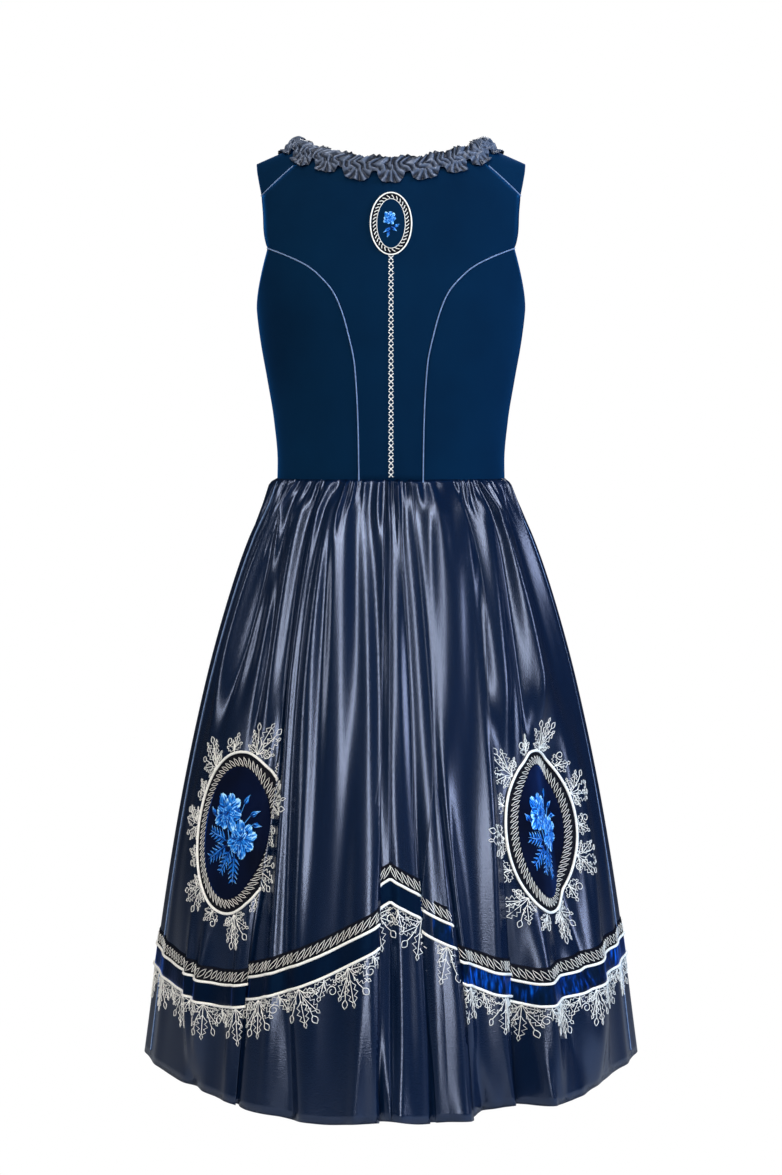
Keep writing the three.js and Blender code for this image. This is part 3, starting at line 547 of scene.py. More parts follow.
# ------------------------------------------------------------------ skirt
# Three panels of navy satin, gathered into the waist seam. Below the gathers the cloth hangs in
# long uneven folds, and five tucks on the back lie over their neighbours like loose pleats.
SATIN_THICK = 0.8
SKIRT_DROP = 678
SKIRT_WAIST = {"half_width": 136.4, "back": 93.4, "front": 101.4}
SKIRT_HEM = {"half_width": 292, "back": 287, "front": 287}
FLARE = table(
    "drop flare",
    (0, 0),
    (0.035, 0.075),
    (0.1, 0.205),
    (0.212, 0.37),
    (0.353, 0.535),
    (0.566, 0.728),
    (0.78, 0.878),
    (1, 1),
)
flare_at = eased(FLARE, "drop", "flare")
HEM_FORM = table(
    "angle out",
    (-180, 0),
    (-110, 0),
    (-84, -1),
    (-60, -10),
    (-45, -9),
    (-38, -2),
    (-32, 8),
    (-25, 10),
    (-20, 18),
    (-14, 20),
    (-8, 14),
    (0, 5),
    (6, 12),
    (12, 10),
    (16, 12),
    (20, -12),
    (23, -20),
    (28, -25),
    (32, -13),
    (35.5, 4),
    (40, 6),
    (46, 0),
    (53, -8),
    (62, -12),
    (84, -1),
    (110, 0),
    (180, 0),
)
hem_form = eased(HEM_FORM, "angle", "out")
# Paths of the cloth's threads down the skirt: their angles at the hem, the middle and the waist. They
# draw together at the waist, but not evenly, and so the laid-on trim bends with the cloth.
THREAD_PATHS = table(
    "hem mid waist",
    (-84, -83, -80),
    (-73, -71, -68),
    (-62, -60.5, -59),
    (-50, -49, -51),
    (-36, -32.6, -36),
    (-29.5, -28.2, -31.5),
    (-20, -21.5, -24.3),
    (-12, -14.5, -18.5),
    (-6.2, -6.8, -12.6),
    (-2.4, -2.4, -2),
    (1.2, 0.9, 1),
    (8, 6, 3.8),
    (11.2, 8.3, 6.5),
    (17, 11.5, 10),
    (19.4, 13.2, 15.5),
    (21, 16.6, 21),
    (23.2, 24.8, 31),
    (30.5, 28, 36),
    (32.6, 31, 40),
    (36.5, 37.8, 44.5),
    (44, 44.7, 50),
    (50, 50.5, 57),
    (60, 59, 67),
    (73, 73, 76),
    (84, 84, 84),
)
# Where cloth is folded out of sight: the thread, the length hidden, the depth of the valley beside it,
# and the shares of the drop where the tuck starts and where it is full.
TUCKS = table(
    "hem hidden valley start full",
    (-36, 22, 4, 0.3, 0.5),
    (-2.4, 72, 4, 0.42, 0.78),
    (8, 24, 4, 0.42, 0.78),
    (17, 80, 4, 0.42, 0.78),
    (30.5, 18, 3, 0.42, 0.78),
)
# Each fold's angle and height just under the waist, at the hips, at the knee and at the hem, and its
# half width at the top and the bottom, in millimetres. A negative height is a valley.
LEVELS = (0.03, 0.25, 0.5, 0.95)
RIDGES = table(
    "angle height width",
    ((-80, -82, -83, -84), (3, 3, 3, 4), (5, 16)),
    ((-68, -70, -71.5, -73), (3, 4, 4, 2), (5, 14)),
    ((-59.5, -62, -62, -65), (4, 11, 9, 0), (4, 15)),
    ((-53, -55.5, -57.5, -55), (8, -8, 1, 2), (5, 9)),
    ((-51, -50, -49.5, -51.5), (16, -4, 6, 3), (4, 14)),
    ((-46, -43, -41.5, -38), (8, -4, -8, -1), (6, 5)),
    ((-41.5, -38.5, -37.5, -39), (11, 9, 8, 3), (12, 8)),
    ((-31, -30.5, -29, -27.5), (14, 12, 10, 2), (9, 7)),
    ((-28, -26, -25, -21.5), (3, 11, 6, -8), (9, 9)),
    ((-26, -23.2, -22, -22.5), (10, 11, 12, -6), (4, 14)),
    ((-23.5, -19, -18, -15), (7, 7, 5, 2), (4, 13)),
    ((-19.5, -15.5, -14.3, -14.5), (12, 12, 9, -4), (11, 17)),
    ((-17, -10, -7.4, -5), (-1, 3, 10, 9), (5, 22)),
    ((-12, -7, -5, -7), (4, 5, 3, 4), (12, 7)),
    ((-6, -1.5, -1.5, -1), (6, 4, 7, 13), (4, 14)),
    ((0.6, 0.3, 1, 2), (8, 5, 6, 9), (8, 8)),
    ((3, 2.7, 3.5, 4), (-4, 6, 6, 4), (5, 10)),
    ((5.5, 8, 9, 10.3), (11, 7, 6, 5), (12, 14)),
    ((11.5, 12.7, 12.8, 14.3), (8, 2, -1, 9), (5, 17)),
    ((15.8, 13.8, 13.8, 20), (12, 1, 4, -3), (8, 5)),
    ((21, 17.8, 14.8, 17.5), (18, 9, 10, -3), (9, 21)),
    ((29, 22.7, 21.7, 21), (10, 7, 6, 12), (5, 18)),
    ((32.5, 27.5, 26, 25.4), (13, 8, 12, 17), (5, 15)),
    ((34.5, 31, 28, 27), (-7, 3, -2, 12), (4, 8)),
    ((39.5, 33.5, 31.4, 31.4), (-6, 17, 14, -2), (12, 15)),
    ((43, 36.5, 33, 35), (6, 8, 3, 6), (10, 7)),
    ((45.7, 40.3, 37.7, 37.5), (5, 5, 13, 8), (4, 12)),
    ((49, 43, 42, 41.5), (4, -2, -3, -1), (4, 6)),
    ((50, 48.8, 46, 46), (13, 18, 7, -1), (4, 16)),
    ((51.5, 48.5, 45.2, 45.2), (-6, -5, -5, 0), (4, 9)),
    ((54.5, 53, 50.7, 52), (11, 8, 17, 9), (10, 20)),
    ((61.5, 57, 56, 55.5), (2, 0, 13, 9), (14, 18)),
    ((68.5, 65.5, 62.5, 60.5), (-6, -8, 4, 7), (16, 17)),
    ((76, 75, 74, 73), (3, 4, 4, 3), (5, 14)),
    ((84, 84, 84, 84), (3, 3, 3, 4), (5, 16)),
)
# The ovals are stiff, so the cloth under them keeps one plain form: flat under the left one, and a deep
# hollow right of the middle of the right one. Angles and heights are read across the oval.
OVAL_BEDS = [
    {"drops": (0.26, 0.49, 0.66, 0.92), "angle": (-76, -64, -50, -36, -32), "out": (3, 4, 5, 5, 4)},
    {
        "drops": (0.31, 0.5, 0.63, 0.95),
        "angle": (26, 31, 36.5, 44, 50.5, 52.5, 56, 60, 68),
        "out": (4, 5, 3, -8, -20, -21.5, -11, -1, 3),
    },
]
FRONT_SPREAD = 0.94
FRONT_DEPTH = 0.8
MID_DROP = 0.4
HEM_FORM_START = 0.5
HEM_LEVELLING = 0.3
SEAM_CATCH = 0.05
GATHERS = 58
GATHER_HEIGHT = 5.6
GATHER_FADE = 0.046
GATHER_START = 0.008
WAIST_HEADING = 4
TUCK_VALLEY_WIDTH = 5


def to_front(angles):
    """The angles on the front of the skirt that match a fold's on the back."""
    turned_by = 180 if angles[-1] < 0 else -180
    return tuple(turned_by + angle * FRONT_SPREAD for angle in angles)


path_levels = ("waist", "mid", "hem")
tucked = [tuck["hem"] for tuck in TUCKS]
front_paths = [
    dict(zip(path_levels, to_front([path[level] for level in path_levels])))
    for path in THREAD_PATHS
    if path["hem"] not in tucked
]
FOLDS = sorted(THREAD_PATHS + front_paths, key=lambda path: path["hem"])
front_ridges = [
    {
        "angle": to_front(ridge["angle"]),
        "height": tuple(height * FRONT_DEPTH for height in ridge["height"]),
        "width": ridge["width"],
    }
    for ridge in RIDGES
]
fold_hem = np.array([fold["hem"] for fold in FOLDS], float)


def fold_angle(fold, drop):
    """The path of a fold down the skirt."""
    upper = lerp(fold["waist"], fold["mid"], smooth(drop, 0, MID_DROP))
    lower = lerp(fold["mid"], fold["hem"], smooth(drop, MID_DROP, 1))
    return np.where(drop < MID_DROP, upper, lower)


def thread_angle(thread, drop):
    """Where a thread of the cloth, named by its angle at the hem, lies at a share of the drop."""
    paths = np.array([fold_angle(fold, drop) for fold in FOLDS])
    wrapped = np.concatenate([paths[-1:] - 360, paths, paths[:1] + 360])
    hems = np.concatenate([fold_hem[-1:] - 360, fold_hem, fold_hem[:1] + 360])
    i = np.clip(np.searchsorted(hems, thread) - 1, 0, len(hems) - 2)
    share = (thread - hems[i]) / (hems[i + 1] - hems[i])
    return wrapped[i] * (1 - share) + wrapped[i + 1] * share


def down_the_fold(values, drop):
    """A smooth curve through a fold's four values, read at a share of the drop."""
    shares = []
    for here in LEVELS:
        others = [level for level in LEVELS if level != here]
        shares.append(math.prod((drop - level) / (here - level) for level in others))
    return float(np.dot(values, shares))


def fold_relief(angle, drop):
    """How far the folds stand out from the plain flared form, in millimetres."""
    flare = float(flare_at(drop))
    mm_per_degree = math.radians(lerp(SKIRT_WAIST["half_width"], SKIRT_HEM["half_width"], flare))
    relief = np.zeros_like(angle)
    for ridge in RIDGES + front_ridges:
        turn = (angle - down_the_fold(ridge["angle"], drop) + 540) % 360 - 180
        width = lerp(*ridge["width"], math.sqrt(drop))
        relief += down_the_fold(ridge["height"], drop) * np.exp(-((turn * mm_per_degree / width) ** 2))
    for bed in OVAL_BEDS:
        rows = [{"angle": at, "out": out} for at, out in zip(bed["angle"], bed["out"])]
        ends = smooth(angle, *bed["angle"][:2]) * (1 - smooth(angle, *bed["angle"][-2:]))
        ends *= smooth(drop, *bed["drops"][:2]) * (1 - smooth(drop, *bed["drops"][2:]))
        relief = lerp(relief, eased(rows, "angle", "out")(angle), ends)
    for tuck in TUCKS:
        path = next(path for path in THREAD_PATHS if path["hem"] == tuck["hem"])
        turn = (angle - fold_angle(path, drop) + 540) % 360 - 180
        depth = tuck["valley"] * smooth(drop, tuck["start"], tuck["full"])
        relief -= depth * np.exp(-((turn * mm_per_degree / TUCK_VALLEY_WIDTH) ** 2))
    # The gathers are rounded ridges of uneven width and height, which fade out below the waist.
    turn = np.radians(angle)
    uneven = turn * GATHERS + 2.1 * np.sin(7 * turn + 1) + 1.2 * np.sin(19 * turn)
    gather = (0.5 + 0.5 * np.cos(uneven)) ** 2.2 - 0.25
    gather += 0.22 * np.cos(2.6 * uneven + 3 * np.sin(9 * turn)) * math.exp(-drop / 0.02)
    fade = GATHER_FADE * (1 + 0.45 * np.sin(13 * turn + 2) + 0.25 * np.sin(31 * turn))
    gather *= GATHER_HEIGHT * (1 + 0.35 * np.sin(11 * turn)) * np.exp(-((drop / fade) ** 2))
    return relief * float(smooth(drop, 0, SEAM_CATCH)) + gather * float(smooth(drop, 0, GATHER_START))


# The skirt's whole outer face is worked out once, as a ring of columns: one for each thread, and a
# run of them through each tuck, where the cloth goes back behind the fold on its left.
SIDE_SEAM = 78.5
THREAD_STEP = 0.44
FRONT_THREAD_STEP = 0.58
TUCK_COLUMNS = 22
TUCK_GAP = 3.2
# Right of a tuck the cloth lies behind the fold, and comes forward again over this far.
TUCK_FADE = 22
TUCK_REACH = 90
SKIRT_ROWS = 106
threads, tuck_share, tuck_of = [], [], []
cuts = [(tuck["hem"], tuck["hidden"], tuck["start"], tuck["full"]) for tuck in TUCKS]
stops = sorted([-180, -SIDE_SEAM, 0, SIDE_SEAM, 180] + [cut[0] for cut in cuts])
for start, stop in zip(stops[:-1], stops[1:]):
    step = FRONT_THREAD_STEP if max(abs(start), abs(stop)) > SIDE_SEAM else THREAD_STEP
    pieces = max(2, round((stop - start) / step))
    run = np.linspace(start, stop, pieces + 1)[:-1]
    tuck = next((i for i, cut in enumerate(cuts) if cut[0] == start), None)
    if tuck is not None:
        threads += [start] * TUCK_COLUMNS
        tuck_share += list(np.linspace(0, 1, TUCK_COLUMNS))
        tuck_of += [tuck] * TUCK_COLUMNS
        run = run[1:]
    threads += list(run)
    tuck_share += [-1] * len(run)
    tuck_of += [-1] * len(run)
threads, tuck_share, tuck_of = np.array(threads), np.array(tuck_share), np.array(tuck_of)


def skirt_row(drop):
    """One level of the skirt's outer face, all round, in millimetres."""
    angle = thread_angle(threads, drop)
    flare = float(flare_at(drop))
    half_width = lerp(SKIRT_WAIST["half_width"], SKIRT_HEM["half_width"], flare)
    mm_per_degree = math.radians(half_width)
    behind = np.zeros_like(angle)
    for i, (hem, hidden, tuck_start, tuck_full) in enumerate(cuts):
        grown = float(smooth(drop, tuck_start, tuck_full))
        gap = lerp(0.4, TUCK_GAP, grown) * min(1, 0.35 + hidden / 60)
        inside = tuck_of == i
        share_in = tuck_share[inside]
        beyond = (angle - float(thread_angle(np.array([hem]), drop)[0])) * mm_per_degree
        right = (~inside) & (beyond > 0) & (beyond < TUCK_REACH)
        behind[right] += 2 * gap * np.exp(-((beyond[right] / TUCK_FADE) ** 2))
        # In the tuck the cloth goes back under the fold on its left, turns, and comes out again.
        behind[inside] = gap * (smooth(share_in, 0, 0.12) + smooth(share_in, 0.44, 0.56))
        angle[inside] -= lerp(1.5, hidden / 2, grown) * np.sin(math.pi * share_in) / mm_per_degree
    turn = np.radians(angle)
    depth = np.where(
        np.cos(turn) > 0,
        lerp(SKIRT_WAIST["back"], SKIRT_HEM["back"], flare),
        lerp(SKIRT_WAIST["front"], SKIRT_HEM["front"], flare),
    )
    fullness = lerp(SIDE_FULLNESS, 1, float(smooth(drop, 0, 0.3)))
    share = np.sign(np.cos(turn)) * np.abs(np.cos(turn)) ** fullness
    out = np.stack([np.sin(turn) * depth, -np.cos(turn) * half_width], -1)
    out /= np.linalg.norm(out, axis=-1, keepdims=True)
    folds = fold_relief(angle, drop)
    level = HEM_LEVELLING * folds * np.cos(turn) * float(smooth(drop, 0.75, 1))
    relief = folds + hem_form((angle + 540) % 360 - 180) * float(smooth(drop, HEM_FORM_START, 1))
    base = np.stack([half_width * np.sin(turn), -depth * share], -1)
    plan = base + out * (relief - behind)[:, None]
    heading = WAIST_HEADING * (1 - float(smooth(drop, 0, 0.04)))
    return np.concatenate([plan, (WAIST_Z + heading - drop * SKIRT_DROP + level)[:, None]], axis=1)


# Rows lie close together at the gathers and evenly below.
row_share = np.linspace(0, 1, SKIRT_ROWS)
row_drop = 0.55 * row_share + 0.45 * row_share**2
skirt_face = np.array([skirt_row(drop) for drop in row_drop])
closed_face = np.concatenate([skirt_face, skirt_face[:, :1]], axis=1)
around = np.roll(skirt_face, -1, axis=1) - np.roll(skirt_face, 1, axis=1)
downwards = np.gradient(skirt_face, axis=0)
skirt_normal = -np.cross(around, downwards)
skirt_normal /= np.linalg.norm(skirt_normal, axis=-1, keepdims=True)

satin, satin_tree, satin_shader = new_material(
    "navy_satin", {"Roughness": 0.25, "IOR": 1.9, "Specular Tint": (0.62, 0.71, 0.96, 1)}
)
satin_stops = [(0.3, 0.0005, 0.0052, 0.0200), (0.7, 0.0014, 0.0085, 0.0285)]
ramp(satin_tree, satin_shader, noise(satin_tree, 520, 2), satin_stops)
bump(satin_tree, satin_shader, noise(satin_tree, 620, 1), 0.35, 0.0004)

cloth_run = np.zeros(closed_face.shape[:2])
cloth_run[:, 1:] = np.cumsum(np.linalg.norm(np.diff(closed_face, axis=1), axis=2), axis=1)
low_run = cloth_run[int(0.8 * SKIRT_ROWS)]
cloth_uv = np.stack(np.broadcast_arrays(low_run, -row_drop[:, None] * SKIRT_DROP), -1) * MM


def column_of(angle):
    """The column of the skirt whose thread ends nearest an angle at the hem."""
    return int(np.argmin(np.where(tuck_of < 0, np.abs(threads - angle), 999)))


seam_left, seam_centre, seam_right = column_of(-SIDE_SEAM), column_of(0), column_of(SIDE_SEAM)
last_column = closed_face.shape[1] - 1
skirt_parts = {
    "skirt_back_left": np.arange(seam_left, seam_centre + 1),
    "skirt_back_right": np.arange(seam_centre, seam_right + 1),
    "skirt_front": np.concatenate([np.arange(seam_right, last_column), np.arange(0, seam_left + 1)]),
}
for node, chosen in skirt_parts.items():
    points = closed_face[:, chosen][::-1]
    uv = cloth_uv[:, chosen][::-1].copy()
    wrapped = chosen < seam_right if node == "skirt_front" else np.zeros(len(chosen), bool)
    uv[:, wrapped, 0] += low_run[-1] * MM
    mesh = cloth_grid(node + "_cloth", len(chosen), SKIRT_ROWS, points, uv)
    piece = add_piece(node + "_cloth", mesh, satin, [node])
    give_thickness(piece, SATIN_THICK)
    width = float(uv[0, -1, 0] - uv[0, 0, 0])

# ------------------------------------------------------------------ skirt side piping
# The same light-blue piping is caught in the two side seams of the skirt, from the waist to the hem.
SIDE_PIPING_RADIUS = 0.7
SIDE_PIPING_OUT = 0.5
for hand_name, column in (("right", seam_right), ("left", seam_left)):
    line = closed_face[1:-1, column] + skirt_normal[1:-1, column] * SIDE_PIPING_OUT
    add_threads(f"skirt_side_piping_{hand_name}", [line], SIDE_PIPING_RADIUS, piping, 1)

# ------------------------------------------------------------------ neck ruche
# One strip of the skirt's satin goes round the neck edge. Its middle is folded into tight chevrons
# that lap over each other, and its edges stand out as scallops with fan folds.
RUCHE_LOBES = 23
RUCHE_CHEVRONS = 92
RUCHE_COLUMNS = RUCHE_LOBES * 50
RUCHE_ROWS = 34
RUCHE_THICK = 0.5
RUCHE_MIDDLE = 10.5
LOBE_LENGTH = 11.5
CHEVRON_HEIGHT = 5.0
FAN_HEIGHT = 3.0
FAN_FOLDS = 6
FRILL_HEIGHT = 1.6
ARCH_HEIGHT = 3.2


def neck_line():
    """The neck edge as places on the bodice, closed, with the same length of edge between them."""
    half = []
    for share in np.arange(4) / 4:
        over = lerp(BACK_NECK_OVER, SHOULDER_SEAM["neck_over"], share**NECK_DIP)
        half.append((SHOULDER_SEAM["neck_x"] * share, over))
    half += [(row["x"], row["over"]) for row in FRONT_NECK]
    corners = np.array(half + [(-x, over) for x, over in half[-2:0:-1]])
    share = np.linspace(0, 1, 61)[:-1, None]
    before, here, after, later = (np.roll(corners, k, axis=0)[:, None] for k in (1, 0, -1, -2))
    bend = 2 * here + (after - before) * share + (2 * before - 5 * here + 4 * after - later) * share**2
    fine = ((bend + (3 * here - before - 3 * after + later) * share**3) / 2).reshape(-1, 2)
    fine = np.concatenate([fine, fine[:1]])
    places = bodice_form(side_at(fine[:, 0], fine[:, 1]), fine[:, 1])
    run = np.concatenate([[0], np.cumsum(np.linalg.norm(np.diff(places, axis=0), axis=1))])
    even = np.linspace(0, run[-1], RUCHE_COLUMNS + 1)
    return np.interp(even, run, fine[:, 0]), np.interp(even, run, fine[:, 1]), even


def walk_from(side, over, ahead, distance):
    """Walks over the bodice from its neck edge, square to the edge."""
    step, pieces = 0.002, 5
    a, b = side, over
    for _ in range(pieces):
        da = (bodice_form(a + step, b) - bodice_form(a - step, b)) / (2 * step)
        db = (bodice_form(a, b + step) - bodice_form(a, b - step)) / (2 * step)
        away = np.cross(np.cross(da, db), ahead)
        away /= np.linalg.norm(away, axis=-1, keepdims=True)
        aa, ab, bb = (da * da).sum(-1), (da * db).sum(-1), (db * db).sum(-1)
        ra, rb = (away * da).sum(-1), (away * db).sum(-1)
        scale = distance / pieces / (aa * bb - ab * ab)
        a, b = a + scale * (ra * bb - rb * ab), b + scale * (rb * aa - ra * ab)
    return a, b


neck_x, neck_over, neck_run = neck_line()
neck_side = side_at(neck_x, neck_over)
neck_place = bodice_form(neck_side, neck_over)
neck_ahead = np.roll(neck_place[:-1], -1, axis=0) - np.roll(neck_place[:-1], 1, axis=0)
neck_ahead = np.concatenate([neck_ahead, neck_ahead[:1]])
neck_ahead /= np.linalg.norm(neck_ahead, axis=1, keepdims=True)
# The strip's two edges, as distances down from the neck edge: lobes below, small waves above.
lobe_turn = neck_run / neck_run[-1] * RUCHE_LOBES + 0.5
lobe_at = lobe_turn - np.floor(lobe_turn) - 0.5
across = np.linspace(0, 1, RUCHE_ROWS)[:, None]
lobe_long = np.clip(1.25 - 1.25 * (2.3 * np.abs(lobe_at)) ** 3, 0, 1)
high_long = np.clip(1 - (3 * np.abs((lobe_at + 1) % 1 - 0.5)) ** 2, 0, 1)
low_edge = 19.5 + (LOBE_LENGTH + 1.6 * np.sin(neck_run * 0.083 + 1)) * lobe_long
high_edge = 0.5 - 4.5 * high_long + 1.2 * np.sin(neck_run * 0.9)
reach = high_edge + (low_edge - high_edge) * across
# The chevrons are steep folds that point along the strip's middle, each lapped over the next one.
from_middle = (reach - RUCHE_MIDDLE + 1.3 * np.sin(neck_run * 0.17)) / 8
chevron_turn = neck_run / neck_run[-1] * RUCHE_CHEVRONS - 0.8 * np.minimum(np.abs(from_middle), 1.3)
chevron_turn = chevron_turn + 0.3 * np.sin(neck_run * 0.11) + 0.22 * np.sin(neck_run * 0.31 + reach * 0.35)
chevron = chevron_turn - np.floor(chevron_turn)
in_chevrons = np.clip(1.9 - 1.1 * np.abs(from_middle), 0, 1)
folded = CHEVRON_HEIGHT * np.clip(chevron / 0.66, 0, 1) ** 0.7 * np.clip((1 - chevron) / 0.34, 0, 1)
# Each lobe opens into a fan of folds, and a small frill stands at the neck edge.
fan_angle = np.arctan2(lobe_at * neck_run[-1] / RUCHE_LOBES, reach - 14)
fan = FAN_HEIGHT * np.abs(np.cos(fan_angle * FAN_FOLDS)) ** 1.2 * smooth(reach, 16.5, 20)
frill_turn = neck_run / neck_run[-1] * math.pi * RUCHE_LOBES * 4
frill = FRILL_HEIGHT * np.abs(np.sin(frill_turn)) * smooth(-reach, -4, 2)
# The strip stands off the bodice in an arch, a little more over the shoulders.
arch = ARCH_HEIGHT * np.clip(1 - ((reach - 10) / 15) ** 2, 0, 1)
on_shoulder = np.exp(-(((np.abs(neck_over - math.pi / 2)) / 0.35) ** 2))
lift = 0.6 + arch + folded * in_chevrons + fan + frill + 1.5 * smooth(reach, 24, 31)
lift = lift + (3.5 * on_shoulder * np.clip(1 - ((reach - 6) / 12) ** 2, 0, 1)) + 1.0 * smooth(-reach, 0, 4)
shape = (RUCHE_ROWS, RUCHE_COLUMNS + 1)
ruche_side, ruche_over = walk_from(
    np.broadcast_to(neck_side, shape), np.broadcast_to(neck_over, shape), neck_ahead[None], reach
)
ruche_points = on_bodice(ruche_side, ruche_over, lift)

# The ruche's painted shade: how far each point stands up out of its folds, carried in the UV map for the
# colour ramp.
ruche_painted_shade = np.clip((folded * in_chevrons + fan * 1.3 + frill) / 4.8, 0, 1)
shaded_ruche_uv = np.stack([np.broadcast_to(neck_run * MM, shape), np.broadcast_to(ruche_painted_shade, shape)], -1)
ruche_satin, ruche_tree, ruche_shader = new_material(
    "slate_satin", {"IOR": 1.8, "Specular Tint": (0.8, 0.85, 1, 1), "Roughness": 0.36}
)


def coordinate(tree, coords, axis):
    """One of the piece's own coordinates, as a value for its material."""
    where = tree.nodes.new("ShaderNodeTexCoord")
    return add_node(tree, "SeparateXYZ", {"Vector": where.outputs[coords]}).outputs[axis]


# Painted shade and light: the satin's colour is darker the deeper it lies between the folds, and lighter on
# the ridges.
painted_ruche_shade_stops = [(0.16, 0.0006, 0.0018, 0.006), (0.5, 0.010, 0.017, 0.033), (0.85, 0.082, 0.104, 0.152)]
ramp(ruche_tree, ruche_shader, coordinate(ruche_tree, "UV", "Y"), painted_ruche_shade_stops)
bump(ruche_tree, ruche_shader, noise(ruche_tree, 1500, 1), 0.3, 0.0003)
ruche_mesh = cloth_grid("neck_ruche_cloth", RUCHE_COLUMNS + 1, RUCHE_ROWS, ruche_points, shaded_ruche_uv)
ruche = add_piece("neck_ruche_cloth", ruche_mesh, ruche_satin, ["neck_ruche"])
give_thickness(ruche, RUCHE_THICK)

# ------------------------------------------------------------------ velvet band
# A velvet ribbon is sewn round the skirt between two ivory cords, and rises to a peak at the centre
# back. Cords and embroidery are placed by the cloth's own measures, so they go into its folds.
BAND_FOOT = 106
BAND_WIDTH = 25
BAND_PEAK = 122
BAND_PEAK_REACH = 330
BAND_PEAK_CURVE = 1.4
BAND_SIDE_RISE = 14
BAND_LEFT_DIP = 9
LAID_ON_THICK = 0.4
# The run of cloth from the centre back to each column, along the lower skirt.
column_run = low_run - low_run[seam_centre]
column_index = np.arange(len(column_run))
closed_normal = np.concatenate([skirt_normal, skirt_normal[:, :1]], axis=1)


def cloth_at(column, drop, out):
    """A point over the skirt, by its column and its share of the drop, lifted off the cloth."""
    row = np.interp(drop, row_drop, np.arange(SKIRT_ROWS))
    column, row = np.broadcast_arrays(column, row)
    c = np.clip(np.floor(column).astype(int), 0, closed_face.shape[1] - 2)
    r = np.clip(np.floor(row).astype(int), 0, SKIRT_ROWS - 2)
    fc, fr = (column - c)[..., None], (row - r)[..., None]

    def read(grid):
        top = lerp(grid[r, c], grid[r, c + 1], fc)
        return lerp(top, lerp(grid[r + 1, c], grid[r + 1, c + 1], fc), fr)

    normal = read(closed_normal)
    normal /= np.linalg.norm(normal, axis=-1, keepdims=True)
    return read(closed_face) + normal * np.asarray(out)[..., None]


def over_skirt(cloth, height, out):
    """A point over the skirt, by millimetres of cloth from the centre back and above the hem."""
    return cloth_at(np.interp(cloth, column_run, column_index), 1 - height / SKIRT_DROP, out)


def band_foot(cloth):
    """The height of the band's lower edge over the hem, along the cloth."""
    far = np.abs(cloth)
    in_peak = np.clip(1 - far / BAND_PEAK_REACH, 0, 1) ** BAND_PEAK_CURVE
    dip = BAND_LEFT_DIP * smooth(-cloth, 60, 200) * (1 - smooth(-cloth, 560, 760))
    side_rise = BAND_SIDE_RISE * smooth(far, BAND_PEAK_REACH, 2 * BAND_PEAK_REACH)
    return BAND_FOOT + BAND_PEAK * in_peak + side_rise - dip


def sum_of(tree, operation, *inputs):
    """The result of one sum, as a value for a material."""
    return add_node(tree, "Math", dict(enumerate(inputs)), operation).outputs["Value"]


ribbon, ribbon_tree, ribbon_shader = new_material(
    "blue_ribbon_velvet",
    {
        "Roughness": 0.55,
        "Specular IOR Level": 0.3,
        "Specular Tint": (0.1, 0.4, 1, 1),
        "Sheen Weight": 0.5,
        "Sheen Roughness": 0.25,
        "Sheen Tint": (0.01, 0.14, 0.8, 1),
    },
)
# Painted glints: the ribbon's colour turns bright blue in streaks of stretched noise, and the streaks are
# dimmer left of the centre back.
painted_glint_streaks = noise(ribbon_tree, 1, 3, "Object", (210, 210, 45))
ribbon_painted_glint = sum_of(ribbon_tree, "MULTIPLY", painted_glint_streaks, noise(ribbon_tree, 13, 1))
ribbon_place = coordinate(ribbon_tree, "Object", "X")
painted_glint_side_range = {"From Min": -0.01, "From Max": 0.05, "To Min": 0.62, "Value": ribbon_place}
painted_glint_side_fade = add_node(ribbon_tree, "MapRange", painted_glint_side_range).outputs["Result"]
painted_glint_stops = [
    (0.22, 0.0002, 0.0022, 0.010),
    (0.31, 0.0005, 0.0060, 0.036),
    (0.37, 0.001, 0.030, 0.21),
    (0.43, 0.003, 0.100, 0.55),
]
faded_painted_glint = sum_of(ribbon_tree, "MULTIPLY", painted_glint_side_fade, ribbon_painted_glint)
ramp(ribbon_tree, ribbon_shader, faded_painted_glint, painted_glint_stops)
bump(ribbon_tree, ribbon_shader, noise(ribbon_tree, 220, 4), 0.6, 0.001)

ground, ground_tree, ground_shader = new_material(
    "dark_blue_velvet",
    {
        "Roughness": 0.8,
        "Specular IOR Level": 0.1,
        "Sheen Weight": 0.35,
        "Sheen Roughness": 0.3,
        "Sheen Tint": (0.01, 0.14, 0.8, 1),
    },
)
ground_stops = [(0.35, 0.0002, 0.0016, 0.0085), (0.75, 0.0005, 0.0045, 0.026)]
ramp(ground_tree, ground_shader, noise(ground_tree, 14, 3), ground_stops)

ivory, ivory_tree, ivory_shader = new_material("ivory_thread", {"Roughness": 0.5, "Sheen Weight": 0.3})
ivory_stops = [(0.3, 0.8, 0.75, 0.66), (0.65, 0.97, 0.94, 0.87)]
ramp(ivory_tree, ivory_shader, noise(ivory_tree, 700, 2), ivory_stops)
bump(ivory_tree, ivory_shader, noise(ivory_tree, 1200, 1), 0.35, 0.0003)

shade = new_material(
    "dark_rope_ground",
    {"Base Color": (0.0015, 0.0022, 0.006, 1), "Roughness": 0.7, "Specular IOR Level": 0.15},
)[0]

fine_column = np.arange(0, len(column_run) - 0.5, 1.0)
fine_cloth = np.interp(fine_column, column_index, column_run)


def skirt_strip(name, low, high, rows, out, material, nodes=()):
    """A strip of cloth laid all round the skirt, from one height over the band's foot to another."""
    share = np.linspace(0, 1, rows)[:, None]
    height = band_foot(fine_cloth)[None] + lerp(low, high, share)
    points = cloth_at(fine_column[None], 1 - height / SKIRT_DROP, out)
    mesh = cloth_grid(name, len(fine_column), rows, points)
    piece = add_piece(name, mesh, material, nodes)
    give_thickness(piece, LAID_ON_THICK)


